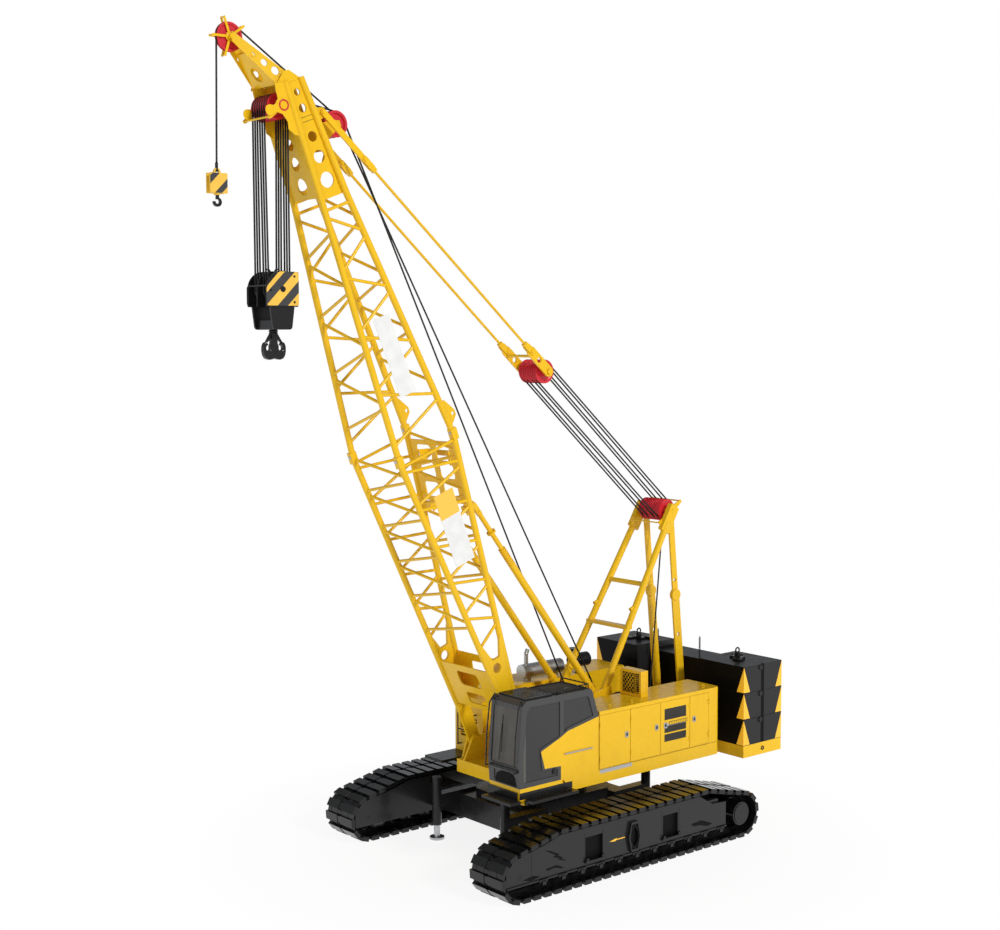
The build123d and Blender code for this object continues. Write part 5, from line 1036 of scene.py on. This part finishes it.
screen = [(1.14, 1.76), (1.20, 1.93), (1.36, 2.00), (1.60, 2.00), (1.72, 1.93), (1.76, 1.76)]
screen_mesh = prism(screen, 0.004, lambda u, v, w: (cab_front(v) + 0.002 + w, u, v))
add("lower_screen", screen_mesh, M["pit_black"], "upper")
bar = [(2.235, 1.02, 2.06), (2.262, 1.08, 2.055), (2.262, 1.74, 2.055), (2.235, 1.80, 2.06)]
add("front_bar", tubes([bar], 0.022, 12), M["cab_grey"], "upper")
panel = [(0.42, 1.03), (1.28, 1.03), (1.28, 1.78), (0.42, 1.78)]
add("roof_panel", prism(panel, 0.006, lambda u, v, w: (u, v, 3.3604 + w)), vent_mesh, "upper", bevel=0.002)
edge = [(0.44, 1.05), (1.26, 1.05), (1.26, 1.76), (0.44, 1.76), (0.44, 1.05)]
add("roof_frame", tubes([[(x, y, 3.375) for x, y in edge]], 0.010, 8), black, "upper")


# ------------------------------------------------------------ camera, stage
yaw, pitch, roll = radians(-129.854), radians(-4.568), radians(-0.190)
forward = Vector((cos(pitch) * cos(yaw), cos(pitch) * sin(yaw), sin(pitch)))
right = Vector((sin(yaw), -cos(yaw), 0))
up = right.cross(forward)
right, up = right * cos(roll) + up * sin(roll), up * cos(roll) - right * sin(roll)
data = bpy.data.cameras.new("camera")
data.sensor_width = 36
data.lens = 56.382
data.clip_end = 500
camera = bpy.data.objects.new("camera", data)
bpy.context.collection.objects.link(camera)
turned = Matrix((right, up, -forward)).transposed().to_4x4()
camera.matrix_world = Matrix.Translation((20.588, 23.353, 10.003)) @ turned
bpy.context.scene.camera = camera
bpy.context.scene.view_settings.view_transform = "Standard"

bpy.ops.mesh.primitive_plane_add(size=600, location=(0, 0, cad_box[0][2] - 0.004))
floor = bpy.context.object
floor.name = "floor"
m, tree, bsdf = new_material("floor_pale")
base = mixed(tree, ramp(tree, noise(tree, 0.4), 0.3, 0.7), (0.95, 0.95, 0.95), (0.97, 0.97, 0.97))
tree.links.new(base, bsdf.inputs["Base Color"])
bsdf.inputs["Roughness"].default_value = 0.9
# a faint shadow shows near the middle; from 7.5 m out the floor is plain white
glow = tree.nodes.new("ShaderNodeEmission")
glow.inputs["Color"].default_value = (1, 1, 1, 1)
fade = tree.nodes.new("ShaderNodeMixShader")
coords = tree.nodes.new("ShaderNodeTexCoord")
length = tree.nodes.new("ShaderNodeVectorMath")
length.operation = "LENGTH"
tree.links.new(coords.outputs["Object"], length.inputs[0])
tree.links.new(ramp(tree, length.outputs["Value"], 1.0, 7.5, 0.85, 1.0), fade.inputs[0])
tree.links.new(bsdf.outputs[0], fade.inputs[1])
tree.links.new(glow.outputs[0], fade.inputs[2])
out = next(n for n in tree.nodes if n.type == "OUTPUT_MATERIAL")
tree.links.new(fade.outputs[0], out.inputs[0])
floor.data.materials.append(m)

# the camera sees white; the light on the machine fades from the horizon up
world = bpy.data.worlds.new("studio")
bpy.context.scene.world = world
world.use_nodes = True
wt = world.node_tree
wt.nodes.clear()
wout = wt.nodes.new("ShaderNodeOutputWorld")
soft = wt.nodes.new("ShaderNodeBackground")
soft.inputs[0].default_value = (0.93, 0.96, 1.0, 1)
overhead = wt.nodes.new("ShaderNodeTexCoord")
height = wt.nodes.new("ShaderNodeSeparateXYZ")
wt.links.new(overhead.outputs["Generated"], height.inputs[0])
wt.links.new(ramp(wt, height.outputs[2], 0.05, 0.75, 0.62, 0.14), soft.inputs[1])
white = wt.nodes.new("ShaderNodeBackground")
white.inputs[0].default_value = (1, 1, 1, 1)
white.inputs[1].default_value = 1.0
path = wt.nodes.new("ShaderNodeLightPath")
most = wt.nodes.new("ShaderNodeMath")
most.operation = "MAXIMUM"
wt.links.new(path.outputs["Is Camera Ray"], most.inputs[0])
wt.links.new(path.outputs["Is Transmission Ray"], most.inputs[1])
wmix = wt.nodes.new("ShaderNodeMixShader")
wt.links.new(most.outputs[0], wmix.inputs[0])
wt.links.new(soft.outputs[0], wmix.inputs[1])
wt.links.new(white.outputs[0], wmix.inputs[2])
wt.links.new(wmix.outputs[0], wout.inputs[0])


def sun(name, direction, strength, angle, colour=(1, 1, 1)):
    """A sun that shines along direction; angle is its width in degrees."""
    light = bpy.data.lights.new(name, "SUN")
    light.energy = strength
    light.angle = radians(angle)
    light.color = colour
    o = bpy.data.objects.new(name, light)
    bpy.context.collection.objects.link(o)
    o.rotation_mode = "QUATERNION"
    o.rotation_quaternion = Vector(direction).to_track_quat("-Z", "Y")


sun("key", (0.12, -0.95, -0.55), 1.92, 10, (1.0, 0.985, 0.96))
sun("fill", (-0.9, -0.35, -0.5), 0.35, 30)
